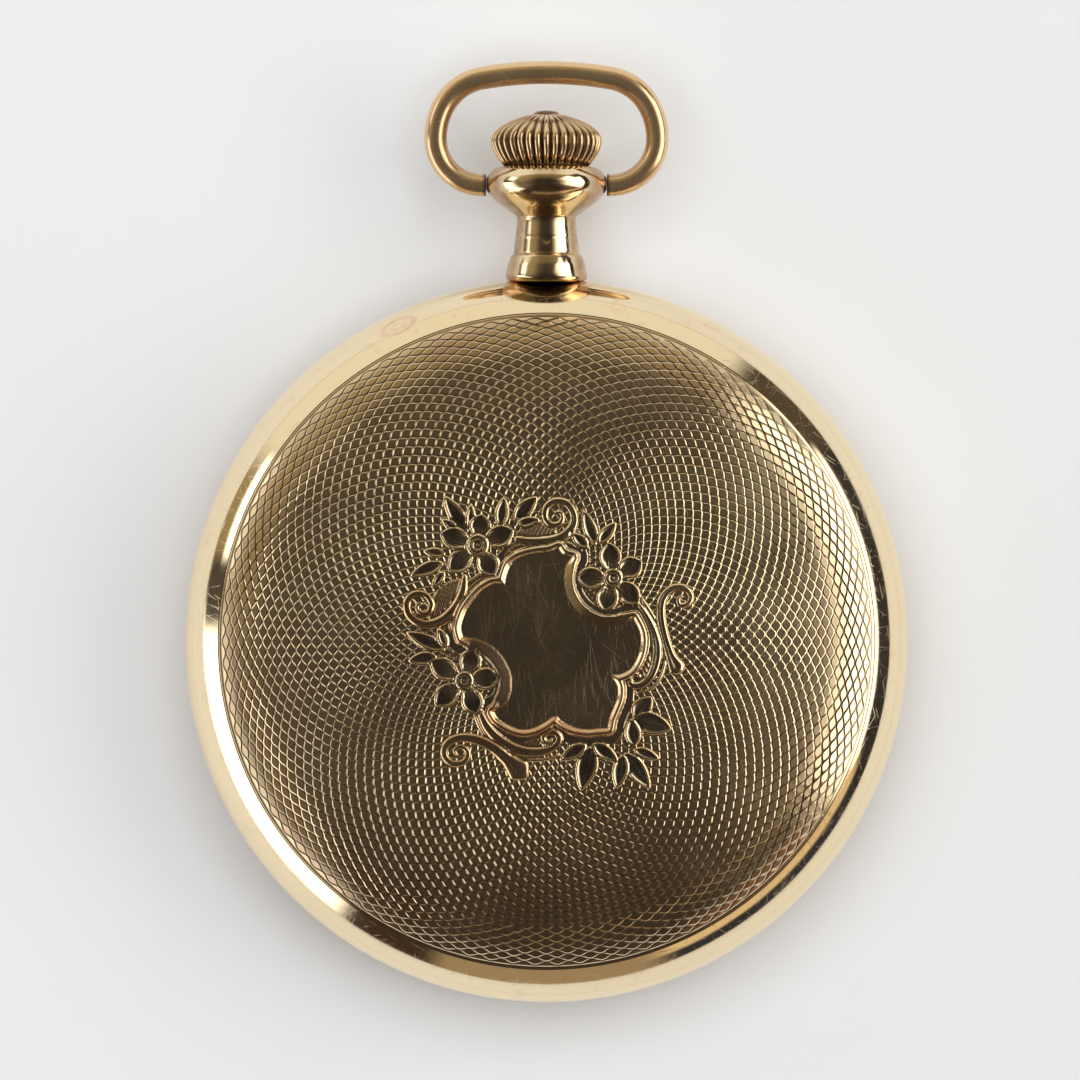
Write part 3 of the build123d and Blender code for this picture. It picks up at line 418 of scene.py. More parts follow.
GOLD = gold("gold_polished")
GOLD_CUT = gold("gold_engine_turned", engraved=True, grime_and_shade_range=(0.35, 0.7))
GOLD_BORDER = gold("gold_border", engraved=True, worn_and_shade=COPPER, rough=0.055, tones=(GOLD_LIGHT, GOLD_PALE))
GOLD_RELIEF = gold("gold_relief", engraved=True, relief=True, worn_and_shade=COPPER)
GOLD_PENDANT = gold("gold_pendant", worn_and_shade=SHADE_BROWN, rough=0.07)
GOLD_BOW = gold("gold_bow", worn_and_shade=SHADE_BROWN, rough=0.17, tones=COPPER_TONES, dull=0.10)
GOLD_FLUTED = gold(
    "gold_fluted", engraved=True, rough=0.12, tones=COPPER_TONES, grime_and_shade_range=(0.75, 1.0), dull=0.06
)
NICKEL = striped_plate()
STEEL = metal("steel_polished", rgb(0.60, 0.61, 0.63), rgb(0.50, 0.50, 0.51), 0.20)
STEEL_GRAIN = metal(
    "steel_grained", rgb(0.55, 0.55, 0.57), rgb(0.45, 0.45, 0.46), 0.30, (0.5, 10.0, 10.0)
)
BRASS = metal("brass_gilt", rgb(0.86, 0.66, 0.30), rgb(0.74, 0.53, 0.22), 0.24)
BLUED = blued()
ENAMEL = enamel()
PRINT = smooth(
    "dial_print", rgb(0.012, 0.012, 0.014), rgb(0.05, 0.045, 0.045),
    (3.0, 4.0, 0.4, 0.7), (2.0, 3.0, 0.3, 0.7, 0.25, 0.4), (8.0, 3.0, 0.2, 0.003),
)
GLASS = glass()
RUBY = smooth(
    "ruby_jewel", rgb(0.62, 0.02, 0.09), rgb(0.36, 0.01, 0.06),
    (2.0, 3.0, 0.35, 0.7), (3.0, 3.0, 0.3, 0.7, 0.04, 0.12), (5.0, 2.0, 0.1, 0.002),
    IOR=1.77, Transmission_Weight=0.35, Coat_Weight=0.5,
)


# ---- screw back
WAVES = 90  # waves of a groove in one turn
WAVE_SWING = 0.46  # of the gap between rings
GROOVE_DEPTH = 0.030
GROOVE_HALF = 0.085  # half width
PATTERN_R = 22.62  # outermost groove
CENTRE_R = 4.2  # the innermost ring is the first inside this
RING_GAP = 0.413  # at the middle
RIM_CROWDING, RIM_R = 0.45, 23.1  # share of the gap lost at this radius
WALL = 0.6
BORDER_COUNT = 1080
INNER_R = 22.65  # step that sits in the band


def dome(rho, offset=0.0):
    """Radius and height of the back's outside at plan radius rho, moved inwards along its normal."""
    rho = np.asarray(rho, float)
    flat = rho <= DOME_R
    rim_lean = np.arcsin(np.clip((rho - SMALL_R) / SMALL, -1, 1))
    lean = np.where(flat, np.arcsin(np.clip(rho / BIG, 0, 1)), rim_lean)
    z = np.where(flat, TOP_Z - BIG + BIG * np.cos(lean), SMALL_Z + SMALL * np.cos(lean))
    return rho - offset * np.sin(lean), z - offset * np.cos(lean)


def ring_radii():
    """Radii of the engine-turned rings, from the middle out; they crowd towards the rim."""
    radii = [PATTERN_R]
    while radii[-1] > CENTRE_R:
        radii.append(radii[-1] - RING_GAP * (1 - RIM_CROWDING * (radii[-1] / RIM_R) ** 4))
    return radii[::-1]


def wavy(radii, k, angle):
    """Plan radius of ring k's groove at each angle; neighbours swing opposite ways, the last is plain."""
    gap = radii[k] - radii[k - 1] if k else radii[1] - radii[0]
    swing = 0.0 if k == len(radii) - 1 else WAVE_SWING
    return radii[k] + swing * gap * np.cos(WAVES * angle + pi * k)


def pattern_rows(radii, first, last, angle):
    """Rows of (plan radius, sunk depth) that follow the grooves of rings first to last."""
    bottom = np.full_like(angle, GROOVE_DEPTH)
    rows = [(wavy(radii, first, angle), bottom)]
    for k in range(first, last):
        here, there = wavy(radii, k, angle), wavy(radii, k + 1, angle)
        half = np.minimum(GROOVE_HALF, (there - here) * 0.42)
        sunk = GROOVE_DEPTH * (1 - half / GROOVE_HALF)
        rows += [(here + half, sunk), (there - half, sunk), (there, bottom)]
    return rows


def sharpen_rows(obj, count, rows):
    """Creases the edges that run along the listed rows."""
    mesh = obj.data
    ends = np.empty(len(mesh.edges) * 2, np.int32)
    mesh.edges.foreach_get("vertices", ends)
    row = ends.reshape(-1, 2) // count
    crease = (row[:, 0] == row[:, 1]) & np.isin(row[:, 0], rows)
    layer = mesh.attributes.get("sharp_edge") or mesh.attributes.new("sharp_edge", "BOOLEAN", "EDGE")
    layer.data.foreach_set("value", crease)


def back_piece(name, first, last, count):
    """One band of the back, engine-turned outside and plain inside."""
    angle = np.linspace(0, TAU, count, endpoint=False)
    flat = np.zeros_like(angle)
    pattern = pattern_rows(RADII, first, last, angle)
    rows = pattern + [(rho + flat, WALL) for rho in np.linspace(RADII[last], RADII[first], 7)]
    verts = []
    for rho, sunk in rows:
        r, z = dome(rho, sunk)
        verts.append(np.column_stack([r * np.cos(angle), r * np.sin(angle), z]))
    quads = ring_quads(len(rows), count)
    obj = new_piece(name, np.vstack(verts), quads, GOLD_CUT, "back", ["back_cover"], sharp=None)
    sharpen_rows(obj, count, list(range(len(pattern) + 1)) + [len(rows) - 1])
    depth = np.zeros((len(rows), count))
    depth[: len(pattern)] = [np.clip(sunk / GROOVE_DEPTH, 0, 1) for _, sunk in pattern]
    add_attributes(obj, groove=depth.ravel())


def rim_height(radius):
    """Height of the smooth outside of back and band at a plan radius."""
    lean = np.arcsin(np.clip((radius - CASE_R + TURN_R) / TURN_R, -1, 1))
    return np.where(radius < SEAM_R, dome(np.minimum(radius, SEAM_R))[1], SIDE_Z + TURN_R * np.cos(lean))


def worn_spots(x, y):
    """Depth, coppery tone and near-black painted shade at a place on the border: the dish under the
    pendant, the wing lines and the small scar, and the shade under the pendant's collar.
    """
    radius, reach, front = np.hypot(x, y), np.abs(x), y > 0
    dish = oval(x, y, 3.0, 24.85, 0.62) * front
    lip = bell(dish, 0.10, 0.12) * (reach < 3.1) * front * (y < 24.8)
    wing = bell(radius, 24.66, 0.05) * front * (ramp01(reach, 2.4, 0.5) * ramp01(reach, 5.8, -1.2))
    # painted shade: a near-black crescent on the band and border under the pendant's collar
    soot = np.clip(oval(x, y, 2.95, 25.38, 0.44) * 4, 0, 1) * front
    along = np.degrees(np.arctan2(y, x)) - 115.2
    ring = np.hypot(along / 3.3, (radius - 24.22) / 0.55)
    scar = bell(ring, 0.85, 0.16) + 0.6 * bell(ring, 0.35, 0.14)
    sunk = 0.03 * np.sqrt(np.clip(dish, 0, 1)) + 0.03 * scar + 0.015 * wing
    copper = np.clip(0.2 * (dish > 0) + 0.6 * lip + 0.7 * wing + 0.5 * scar, 0, 1)
    return sunk, copper, soot


def wear_border(verts):
    """Lowers the outer skin of the border at its rubbed spots and returns where the coppery tone and the
    painted near-black shade show.
    """
    x, y, z = verts.T
    radius = np.hypot(x, y)
    skin = (radius > 23.2) & (z > 6.5) & (np.abs(z - rim_height(radius)) < 0.02)
    sunk, copper, soot = (np.where(skin, worn_and_shade, 0) for worn_and_shade in worn_spots(x, y))
    z -= sunk
    return {"copper": copper, "soot": soot}


def back_border():
    """Polished rim outside the pattern: two cut lines, the rolled edge and the step in the band."""
    line = ((PATTERN_R, GROOVE_DEPTH), (22.70, 0), (22.76, 0), (22.80, 0.03), (22.84, 0), (22.95, 0))
    edge = SEAM_R - 0.003
    skin = [dome(r, sunk) for r, sunk in line] + [dome(r) for r in np.linspace(23.1, edge, 34)]
    step = [(edge, SEAM_Z), (INNER_R + 0.1, SEAM_Z), (INNER_R, SEAM_Z + 0.1), (INNER_R, 8.7)]
    profile = skin + step + [dome(PATTERN_R, WALL)]
    verts, faces = lathe(profile, BORDER_COUNT, ring=True)
    wear_and_shade = wear_border(verts)
    obj = new_piece("back_border", verts, faces, GOLD_BORDER, "back", ["back_cover"])
    depth = np.zeros((len(profile), BORDER_COUNT))
    depth[[0, 3]] = 1  # cut lines
    add_attributes(obj, groove=depth.ravel(), **wear_and_shade)


def back_centre():
    """Plain disc under the cartouche's shield."""
    across = np.linspace(0, RADII[0], 6)
    profile = [dome(r) for r in across] + [dome(r, WALL) for r in across[::-1]]
    new_piece("back_centre", *lathe(profile, 180), GOLD, "back", ["back_cover"])


RADII = ring_radii()
INNER, MIDDLE = (min(range(len(RADII)), key=lambda k: abs(RADII[k] - goal)) for goal in (12.5, 17.8))
back_centre()
back_piece("back_inner_rings", 0, INNER, 720)
back_piece("back_middle_rings", INNER, MIDDLE, 1080)
back_piece("back_outer_rings", MIDDLE, len(RADII) - 1, 1080)
back_border()


# ---- applied cartouche, in mm on the back
RIM_WIDTH = 0.54  # of the moulding round the shield
BEVELLED = {3: 0.88, 8: 0.66}  # the two lobes with a wide bevel, and its width
# Outline of the plain shield, x and y in turn, lobe by lobe; each starts where the one before ends
SHIELD = [
    [0.17, 6.22, -0.64, 6.12, -1.38, 5.97, -2.11, 5.68, -2.56, 5.24, -2.82, 4.57, -2.92, 3.98],
    [-3.44, 4.03, -3.88, 3.91, -4.54, 3.47, -5.13, 2.81, -5.58, 2.14, -5.87, 1.41],
    [-5.94, 0.89, -5.8, 0.3],
    [-5.06, 0.23, -4.25, -0.02, -3.44, -0.58, -2.78, -1.47, -2.41, -2.57, -2.53, -3.68,
     -3.0, -4.49, -3.66, -4.86],
    [-3.37, -5.3, -2.7, -5.74, -1.82, -6.07, -0.93, -5.99, -0.12, -5.59, 0.39, -5.23, 0.69, -5.15],
    [1.06, -5.52, 1.87, -5.92, 2.75, -6.07, 3.56, -6.01, 4.22, -5.96],
    [4.34, -5.3, 4.64, -4.56, 4.9, -3.83, 4.89, -3.02, 4.4, -2.28],
    [5.11, -2.25, 5.84, -1.84, 6.32, -1.03, 6.51, -0.14, 6.43, 0.74, 5.99, 1.63],
    [5.26, 1.3, 4.37, 1.15, 3.41, 1.3, 2.53, 1.8, 1.84, 2.51, 1.39, 3.39, 1.25, 4.35, 1.35, 5.16,
     1.75, 5.83],
    [1.35, 5.93, 1.06, 6.12, 0.83, 6.46],
]
# Scrolls and stems: centreline, x and y in turn, and half width along it
SCROLLS = [
    ([-2.11, 7.15, -0.64, 6.93, 0.83, 7.15, 1.75, 7.89, 1.9, 8.77, 1.42, 9.55, 0.61, 9.73,
      -0.02, 9.29, -0.08, 8.55, 0.42, 8.08, 1.01, 8.29, 1.06, 8.88, 0.61, 8.99],
     (0.15, 0.33, 0.35, 0.32, 0.28, 0.27, 0.25, 0.24, 0.22, 0.2, 0.18, 0.15, 0.1)),
    ([-5.65, 4.5, -5.8, 3.47, -6.31, 2.36, -7.27, 1.45, -8.45, 1.21, -9.41, 1.77, -9.66, 2.66,
      -9.19, 3.28, -8.38, 3.25, -7.96, 2.63, -8.23, 1.99, -8.86, 2.1, -8.92, 2.58, -8.63, 2.63],
     (0.18, 0.29, 0.35, 0.37, 0.32, 0.29, 0.27, 0.25, 0.22, 0.21, 0.18, 0.16, 0.13, 0.09)),
    ([8.97, -1.69, 8.57, -0.88, 8.16, 0.45, 7.91, 1.77, 8.01, 2.92, 8.64, 3.66, 9.46, 3.75,
      9.97, 3.22, 9.79, 2.63, 9.23, 2.54, 9.12, 3.01, 9.44, 3.14],
     (0.59, 0.35, 0.31, 0.32, 0.32, 0.28, 0.25, 0.22, 0.19, 0.18, 0.15, 0.09)),
    ([5.99, 3.1, 6.73, 2.14, 7.32, 0.96, 7.64, -0.22, 7.61, -1.25, 7.27, -2.28, 6.66, -2.94,
      5.99, -3.02, 5.7, -2.57, 5.99, -2.18, 6.43, -2.38],
     (0.1, 0.19, 0.27, 0.32, 0.34, 0.31, 0.27, 0.22, 0.19, 0.16, 0.1)),
    ([-4.59, -4.86, -4.06, -5.92, -3.14, -6.85, -1.97, -7.48, -0.64, -7.63, 0.39, -7.33,
      0.88, -6.74, 0.57, -6.26, -0.02, -6.3, -0.23, -6.74, 0.17, -6.98, 0.39, -6.74],
     (0.22, 0.32, 0.37, 0.37, 0.32, 0.28, 0.24, 0.21, 0.19, 0.16, 0.13, 0.09)),
    ([-1.94, -8.87, -2.7, -8.13, -3.73, -7.29, -4.91, -6.74, -6.09, -6.66, -6.9, -7.1,
      -7.05, -7.88, -6.46, -8.42, -5.68, -8.28, -5.44, -7.63, -5.92, -7.22, -6.36, -7.48,
      -6.21, -7.83],
     (0.81, 0.46, 0.37, 0.35, 0.31, 0.28, 0.25, 0.24, 0.22, 0.2, 0.17, 0.14, 0.1)),
]
STEMS = [
    ([-4.88, -5.23, -4.4, -6.26, -3.59, -7.1, -2.7, -7.73, -1.52, -8.13, -0.05, -8.13, 0.83, -7.81],
     (0.13, 0.15, 0.15, 0.13, 0.13, 0.13, 0.07)),
    ([6.43, 3.25, 7.1, 2.22, 7.83, 0.89, 8.17, -0.29, 8.2, -1.32, 7.91, -2.35, 7.24, -3.24,
      6.29, -3.53],
     (0.1, 0.13, 0.15, 0.15, 0.13, 0.13, 0.12, 0.07)),
    ([-2.7, 5.61, -2.11, 6.27, -0.93, 6.56, 0.24, 6.75, 0.83, 6.93, 1.57, 6.78, 2.38, 6.34],
     (0.1, 0.13, 0.13, 0.12, 0.13, 0.12, 0.09)),
    ([-6.53, 0.59, -6.68, 1.48, -6.09, 2.51, -5.36, 3.54, -4.47, 4.28, -3.29, 4.4],
     (0.09, 0.12, 0.13, 0.13, 0.12, 0.07)),
]
# Leaves: foot x, y, tip x, y, half width
LEAVES = [
    (-5.43, 7.52, -7.09, 10.1, 0.52), (-5.28, 7.67, -5.21, 9.58, 0.33), (-6.09, 7.67, -7.27, 8.48, 0.29),
    (-3.22, 7.96, -2.92, 10.03, 0.44), (-2.26, 8.41, -0.64, 10.03, 0.52), (-2.11, 8.08, -0.42, 8.48, 0.33),
    (-6.98, 6.05, -8.52, 6.27, 0.33), (-7.12, 5.46, -9.41, 4.57, 0.44), (-7.05, 4.87, -7.93, 3.69, 0.31),
    (3.41, 6.64, 2.53, 9.14, 0.44), (3.56, 6.78, 4.81, 8.26, 0.41), (2.9, 6.49, 1.72, 7.52, 0.37),
    (-6.98, -0.58, -9.7, 0.67, 0.46), (-6.9, -0.44, -7.49, 0.96, 0.33), (-7.57, -1.03, -9.56, -1.32, 0.44),
    (5.99, -5.23, 7.29, -3.8, 0.59), (5.99, -5.3, 8.67, -6.04, 0.7), (6.07, -7.22, 5.84, -5.3, 0.52),
    (5.99, -7.44, 7.83, -8.1, 0.37), (5.4, -7.66, 7.17, -10.16, 0.59), (5.33, -7.81, 4.84, -10.16, 0.52),
    (3.12, -7.22, 2.38, -10.31, 0.68), (2.75, -7.14, 0.91, -8.17, 0.44), (3.19, -7.07, 4.96, -8.25, 0.46),
]
# Flowers: centre, radius of the eye, then direction and length of each petal
FLOWERS = [
    ((-4.77, 6.67), 0.77, [(82, 2.17), (22, 2.7), (-61, 2.4), (-138, 2.68), (163, 2.7)]),
    ((4.59, 4.4), 0.66, [(97, 2.48), (31, 2.33), (-44.5, 2.48), (-106, 2.36), (180, 2.51)]),
    ((-5.68, -2.68), 0.62, [(72, 2.28), (5, 2.43), (-69, 2.51), (-139.5, 2.65), (150.6, 2.73)]),
]
# Hatched grounds: outline, x and y in turn, and hatch direction
PANELS = [
    ([-2.11, 7.52, -1.52, 8.04, -0.64, 8.43, -0.05, 8.08, 0.69, 7.7, 0.39, 7.4, -0.64, 7.2,
      -2.04, 7.34], 60),
    ([-7.93, 2.36, -7.79, 3.25, -6.9, 4.1, -5.87, 4.35, -6.02, 3.32, -6.61, 2.36, -7.49, 1.7,
      -8.16, 1.63], 75),
    ([6.21, -1.98, 6.95, -0.81, 7.32, -1.1, 7.2, -2.06, 6.73, -2.65], 110),
    ([-1.97, -7.07, -0.64, -6.66, -0.32, -6.99, -0.05, -7.39, -1.38, -7.39], 55),
    ([-5.36, 4.28, -4.47, 4.69, -3.29, 4.6, -3.07, 4.28, -4.03, 4.06, -5.06, 3.25, -5.65, 2.51], 120),
    ([-3.0, 5.46, -2.7, 6.27, -1.82, 6.78, 0.54, 6.93, -0.64, 6.46, -2.11, 6.12], 100),
]


def curve_through(points, values=None, steps=10):
    """Dense Catmull-Rom curve through points, x and y in turn, with values blended along it."""
    pts = np.array(points, float).reshape(-1, 2)
    pts = np.vstack([2 * pts[0] - pts[1], pts, 2 * pts[-1] - pts[-2]])
    t = np.linspace(0, 1, steps, endpoint=False)[:, None]
    rows = []
    for a, b, c, d in zip(pts, pts[1:], pts[2:], pts[3:]):
        square, cube = 2 * a - 5 * b + 4 * c - d, 3 * b - a - 3 * c + d
        rows.append(0.5 * (2 * b + (c - a) * t + square * t**2 + cube * t**3))
    line = np.vstack(rows + [pts[-2:-1]])
    if values is None:
        return line
    return line, np.interp(np.arange(len(line)) / steps, np.arange(len(values)), values)


class Relief:
    """Height field over the middle of the back, laid down piece by piece from back to front."""

    STEP = 0.076
    HIDDEN = -0.3
    MOAT = 2.2  # slope of the cut round each piece

    def __init__(self, x_range, y_range):
        self.x = np.arange(*x_range, self.STEP)
        self.y = np.arange(*y_range, self.STEP)
        self.height = np.full((len(self.y), len(self.x)), self.HIDDEN)
        self.patina, self.plate, self.copper = (np.zeros_like(self.height) for _ in range(3))

    def window(self, points, margin):
        """The part of the field round some points: its slices and its x and y grids."""
        low, high = np.min(points, 0) - margin, np.max(points, 0) + margin
        i0, i1 = np.searchsorted(self.x, (low[0], high[0]))
        j0, j1 = np.searchsorted(self.y, (low[1], high[1]))
        gx, gy = np.meshgrid(self.x[i0:i1], self.y[j0:j1])
        return (slice(j0, j1), slice(i0, i1)), gx, gy

    def lay(self, area, depth_in, shape, patina=0.0, copper=0.0):
        """Puts shape, a darkening (patina, also painted shade) and a coppery tone (also painted
        reflection) where depth_in > 0, and cuts a moat round it.
        """
        inside = depth_in > 0
        self.patina[area] = np.where(inside, patina, self.patina[area])
        self.copper[area] = np.where(inside, copper, self.copper[area])
        old = self.height[area]
        cut = np.minimum(old, np.maximum(-0.02 + self.MOAT * -depth_in - 0.10, 0.0))
        skirt = np.maximum(old, 0.02 + 2.5 * depth_in)
        self.height[area] = np.where(inside, shape, np.where(old > -0.1, cut, skirt))

    def nearest(self, gx, gy, line):
        """Distance to a dense line and the index of its nearest point."""
        best = np.full(gx.shape, 1e9)
        index = np.zeros(gx.shape, int)
        for k, (px, py) in enumerate(line):
            far = (gx - px) ** 2 + (gy - py) ** 2
            closer = far < best
            best[closer] = far[closer]
            index[closer] = k
        return np.sqrt(best), index

    def inside(self, gx, gy, outline):
        """True inside a closed outline."""
        hit = np.zeros(gx.shape, bool)
        for (x0, y0), (x1, y1) in zip(outline, np.roll(outline, -1, axis=0)):
            if y0 == y1:
                continue
            cross = (y0 > gy) != (y1 > gy)
            hit ^= cross & (gx < (x1 - x0) * (gy - y0) / (y1 - y0) + x0)
        return hit

    def panel(self, outline, direction):
        """Ground hatched along direction."""
        line = curve_through(outline + outline[:2], steps=6)
        area, gx, gy = self.window(line, 0.3)
        far, _ = self.nearest(gx, gy, line)
        depth = np.where(self.inside(gx, gy, line), far, -far)
        a = radians(direction)
        across = -gx * sin(a) + gy * cos(a)
        hatch = np.cos(across * TAU / 0.24) * ramp01(depth, 0, 0.15)
        self.lay(area, depth, 0.07 + 0.045 * hatch, 0.2 - 0.3 * hatch, 0.5)

    def stroke(self, points, halves, peak=0.2, channel=0.07):
        """Rounded scroll or stem with a channel along its middle."""
        line, half = curve_through(points, halves, 12)
        area, gx, gy = self.window(line, 0.7)
        far, index = self.nearest(gx, gy, line)
        width = half[index]
        q = np.clip(far / width, 0, 1)
        shape = peak * np.sqrt(1 - q**2.6) - channel * bell(q, 0, 0.33)
        # painted reflection: a coppery tone that grows towards the lower left
        lower_left = np.clip((2.0 - gx - gy) / 12, 0, 0.5)
        self.lay(area, width - far, shape, 0.5 * bell(q, 0, 0.3) if channel else 0.0, lower_left)

    def blade(self, foot, tip, half, widest, peak=0.17, vein=0.03, ribs=0.0):
        """Leaf or petal with a raised outline, cupped inside."""
        foot, tip = np.array(foot, float), np.array(tip, float)
        length = np.linalg.norm(tip - foot)
        along = (tip - foot) / length
        area, gx, gy = self.window(np.array([foot, tip]), half + 0.3)
        u = ((gx - foot[0]) * along[0] + (gy - foot[1]) * along[1]) / length
        v = -(gx - foot[0]) * along[1] + (gy - foot[1]) * along[0]
        t, aside = np.clip(u, 0, 1), np.abs(v)
        rising = np.sin(np.clip(t / widest, 0, 1) * pi / 2) ** 0.7
        falling = np.cos(np.clip((t - widest) / (1 - widest), 0, 0.9999) * pi / 2) ** 0.72
        width = half * np.maximum(np.where(t < widest, rising, falling), 0.02)
        past = np.maximum(-u, u - 1) * length
        beyond = -np.hypot(past, np.maximum(aside - width, 0))
        depth = np.where(past > 0, beyond, (width - aside) * 0.9)
        cup = 0.045 + 0.03 * np.clip(aside / half, 0, 1)
        shape = cup + (peak - cup) * bell(depth, 0.085, 0.075) + vein * bell(v, 0, 0.05) * (t < 0.85)
        shape += ribs * np.cos(v / 0.11 * TAU / 2) * ramp01(t, 0.62, -0.3) * ramp01(depth, 0, 0.12)
        dark = ramp01(depth, 0.13, 0.08) * (0.95 - 0.75 * (ribs > 0) * ramp01(t, 0.6, -0.3))
        self.lay(area, depth, shape, dark)

    def flower(self, centre, eye, petals):
        """Ribbed petals round a ringed eye."""
        centre = np.array(centre)
        for direction, length in petals:
            a = radians(direction)
            out = np.array([cos(a), sin(a)])
            self.blade(centre + out * eye * 0.55, centre + out * length, 0.78, 0.56, 0.19, 0.0, 0.03)
        area, gx, gy = self.window(centre[None], eye + 0.3)
        r = np.hypot(gx - centre[0], gy - centre[1])
        shape = 0.06 + 0.14 * bell(r, eye * 0.86, eye * 0.13)
        shape += 0.13 * bell(r, eye * 0.5, eye * 0.12) + 0.10 * bell(r, 0, eye * 0.2)
        self.lay(area, eye - r, shape, 0.8 * (shape < 0.12))


def shield_outline():
    """Dense outline of the shield, the moulding's width at each point and how bevelled it is there."""
    line, width, bevel = [], [], []
    corner = SHIELD[-1][-2:]
    for k, part in enumerate(SHIELD):
        dense = curve_through(corner + part)[:-1]
        corner = part[-2:]
        line.append(dense)
        from_end = np.minimum(np.arange(len(dense)), np.arange(len(dense))[::-1])
        ramp = np.clip(from_end / 8, 0, 1)
        width.append(RIM_WIDTH + (BEVELLED.get(k, RIM_WIDTH) - RIM_WIDTH) * ramp)
        bevel.append(ramp * (k in BEVELLED))
    return np.vstack(line), np.concatenate(width), np.concatenate(bevel)


def cartouche():
    """The whole relief: ground, hatching, stems, scrolls, leaves, the shield's moulding, flowers."""
    relief = Relief((-10.3, 10.7), (-10.9, 10.7))
    outline, rim_width, bevelled = shield_outline()
    area, gx, gy = relief.window(outline, 2.0)
    far, index = relief.nearest(gx, gy, outline)
    within = relief.inside(gx, gy, outline)
    relief.lay(area, np.where(within, 1.0, 1.15 - far), np.full(gx.shape, 0.02), 0.45)
    for panel, direction in PANELS:
        relief.panel(panel, direction)
    for points, halves in STEMS:
        relief.stroke(points, halves, 0.13, 0.0)
    for points, halves in SCROLLS:
        relief.stroke(points, halves)
    for x0, y0, x1, y1, half in LEAVES:
        relief.blade((x0, y0), (x1, y1), half * 1.12, 0.42)
    width = rim_width[index]
    q = np.clip(far / width, 0, 1)
    rounded = 0.07 + 0.21 * np.sin(pi * q**1.35) ** 0.9
    rise = np.where(gx < 0, 0.13, 0.24)
    bevel = 0.07 + rise * np.clip(q / 0.86, 0, 1) - 0.5 * np.clip(q - 0.86, 0, 1)
    moulding = rounded + (bevel - rounded) * bevelled[index]
    # painted reflection: a coppery tone on the moulding that grows towards the bottom
    copper = np.clip((2.0 - gy - 0.5 * gx) / 8, 0.1, 0.85) * ~within
    # painted shade on the left lobe's bevel; inside the shield a light even darkening
    shade = np.where(within, 0.25, 0.85 * bevelled[index] * ramp01(q, 0.1, 0.2) * (gx < 0))
    relief.lay(area, np.where(within, 1.0, width - far), np.where(within, 0.03, moulding), shade, copper)
    relief.plate[area] = within * ramp01(far, 0, 0.1)
    for centre, eye, petals in FLOWERS:
        relief.flower(centre, eye, petals)
    return relief


def blur(field, weight):
    """Averages each inner cell, counted weight times, with its four neighbours."""
    total = field[1:-1, 1:-1] * weight + field[:-2, 1:-1] + field[2:, 1:-1]
    field[1:-1, 1:-1] = (total + field[1:-1, :-2] + field[1:-1, 2:]) / (weight + 4)


def relief_piece(relief):
    """Closed skin of the height field over the dome, with grime worked out from its hollows."""
    height = relief.height
    soft = height.copy()
    for _ in range(5):
        blur(soft, 4)
    blur(height, 8)
    hollow = ramp01(soft, height, 0.05) * (height > -0.1)
    high = height > -0.09
    keep = high[:-1, :-1] | high[1:, :-1] | high[:-1, 1:] | high[1:, 1:]
    rows, columns = keep.shape
    used = np.zeros(height.shape, bool)
    for dj in (0, 1):
        for di in (0, 1):
            used[dj : dj + rows, di : di + columns] |= keep
    number = np.full(height.shape, -1)
    number[used] = np.arange(used.sum())
    gx, gy = np.meshgrid(relief.x, relief.y)
    base = dome(np.hypot(gx, gy))[1]
    top = np.column_stack([gx[used], gy[used], (base + height)[used]])
    bottom = np.column_stack([gx[used], gy[used], base[used] - 0.34])

    def corners(j, i):
        return [number[j, i], number[j, i + 1], number[j + 1, i + 1], number[j + 1, i]]

    upper = np.stack(corners(*np.nonzero(keep)), -1)
    lower = upper[:, ::-1] + len(top)
    walls = []
    padded = np.pad(keep, 1)
    for k, (dj, di) in enumerate(((-1, 0), (0, 1), (1, 0), (0, -1))):
        beside = padded[1 + dj : 1 + dj + rows, 1 + di : 1 + di + columns]
        ends = corners(*np.nonzero(keep & ~beside))
        a, b = ends[k], ends[(k + 1) % 4]
        walls.append(np.stack([b, a, a + len(top), b + len(top)], -1))
    quads = np.vstack([upper, lower] + walls)
    obj = new_piece("cartouche_relief", np.vstack([top, bottom]), quads, GOLD_RELIEF, "back", sharp=None)
    fields = {"groove": hollow, "patina": relief.patina, "plate": relief.plate, "copper": relief.copper}
    below = np.zeros(len(top))
    add_attributes(obj, **{name: np.concatenate([field[used], below]) for name, field in fields.items()})


relief_piece(cartouche())


# ---- case band, bezel and crystal, as outlines of (radius, height)
CORNER = 0.08  # rounding of turned edges


def case_band():
    shoulder = arc((CASE_R - TURN_R, SIDE_Z), TURN_R, 0, 90 - degrees(A2) - 0.05, 26)
    inside = [
        (SEAM_R - 0.01, SEAM_Z - 0.03), (22.6, SEAM_Z - 0.03), (22.6, 8.6), (21.75, 8.6), (21.75, 7.45),
        (20.7, 7.45), (20.7, 6.85), (21.75, 6.85), (21.75, 3.05), (22.95, 3.05), (22.95, 4.45),
        (24.9, 4.45), (25.15, 4.5), (CASE_R, 4.65),
    ]
    rounded = inside[:1] + softened(inside + [shoulder[0]], CORNER, 3)[1:-1]
    verts, faces = lathe(shoulder + rounded, 720, ring=True)
    wear_and_shade = wear_border(verts)
    obj = new_piece("case_band_shell", verts, faces, GOLD_BORDER, "case", ["case_band"])
    add_attributes(obj, **wear_and_shade)


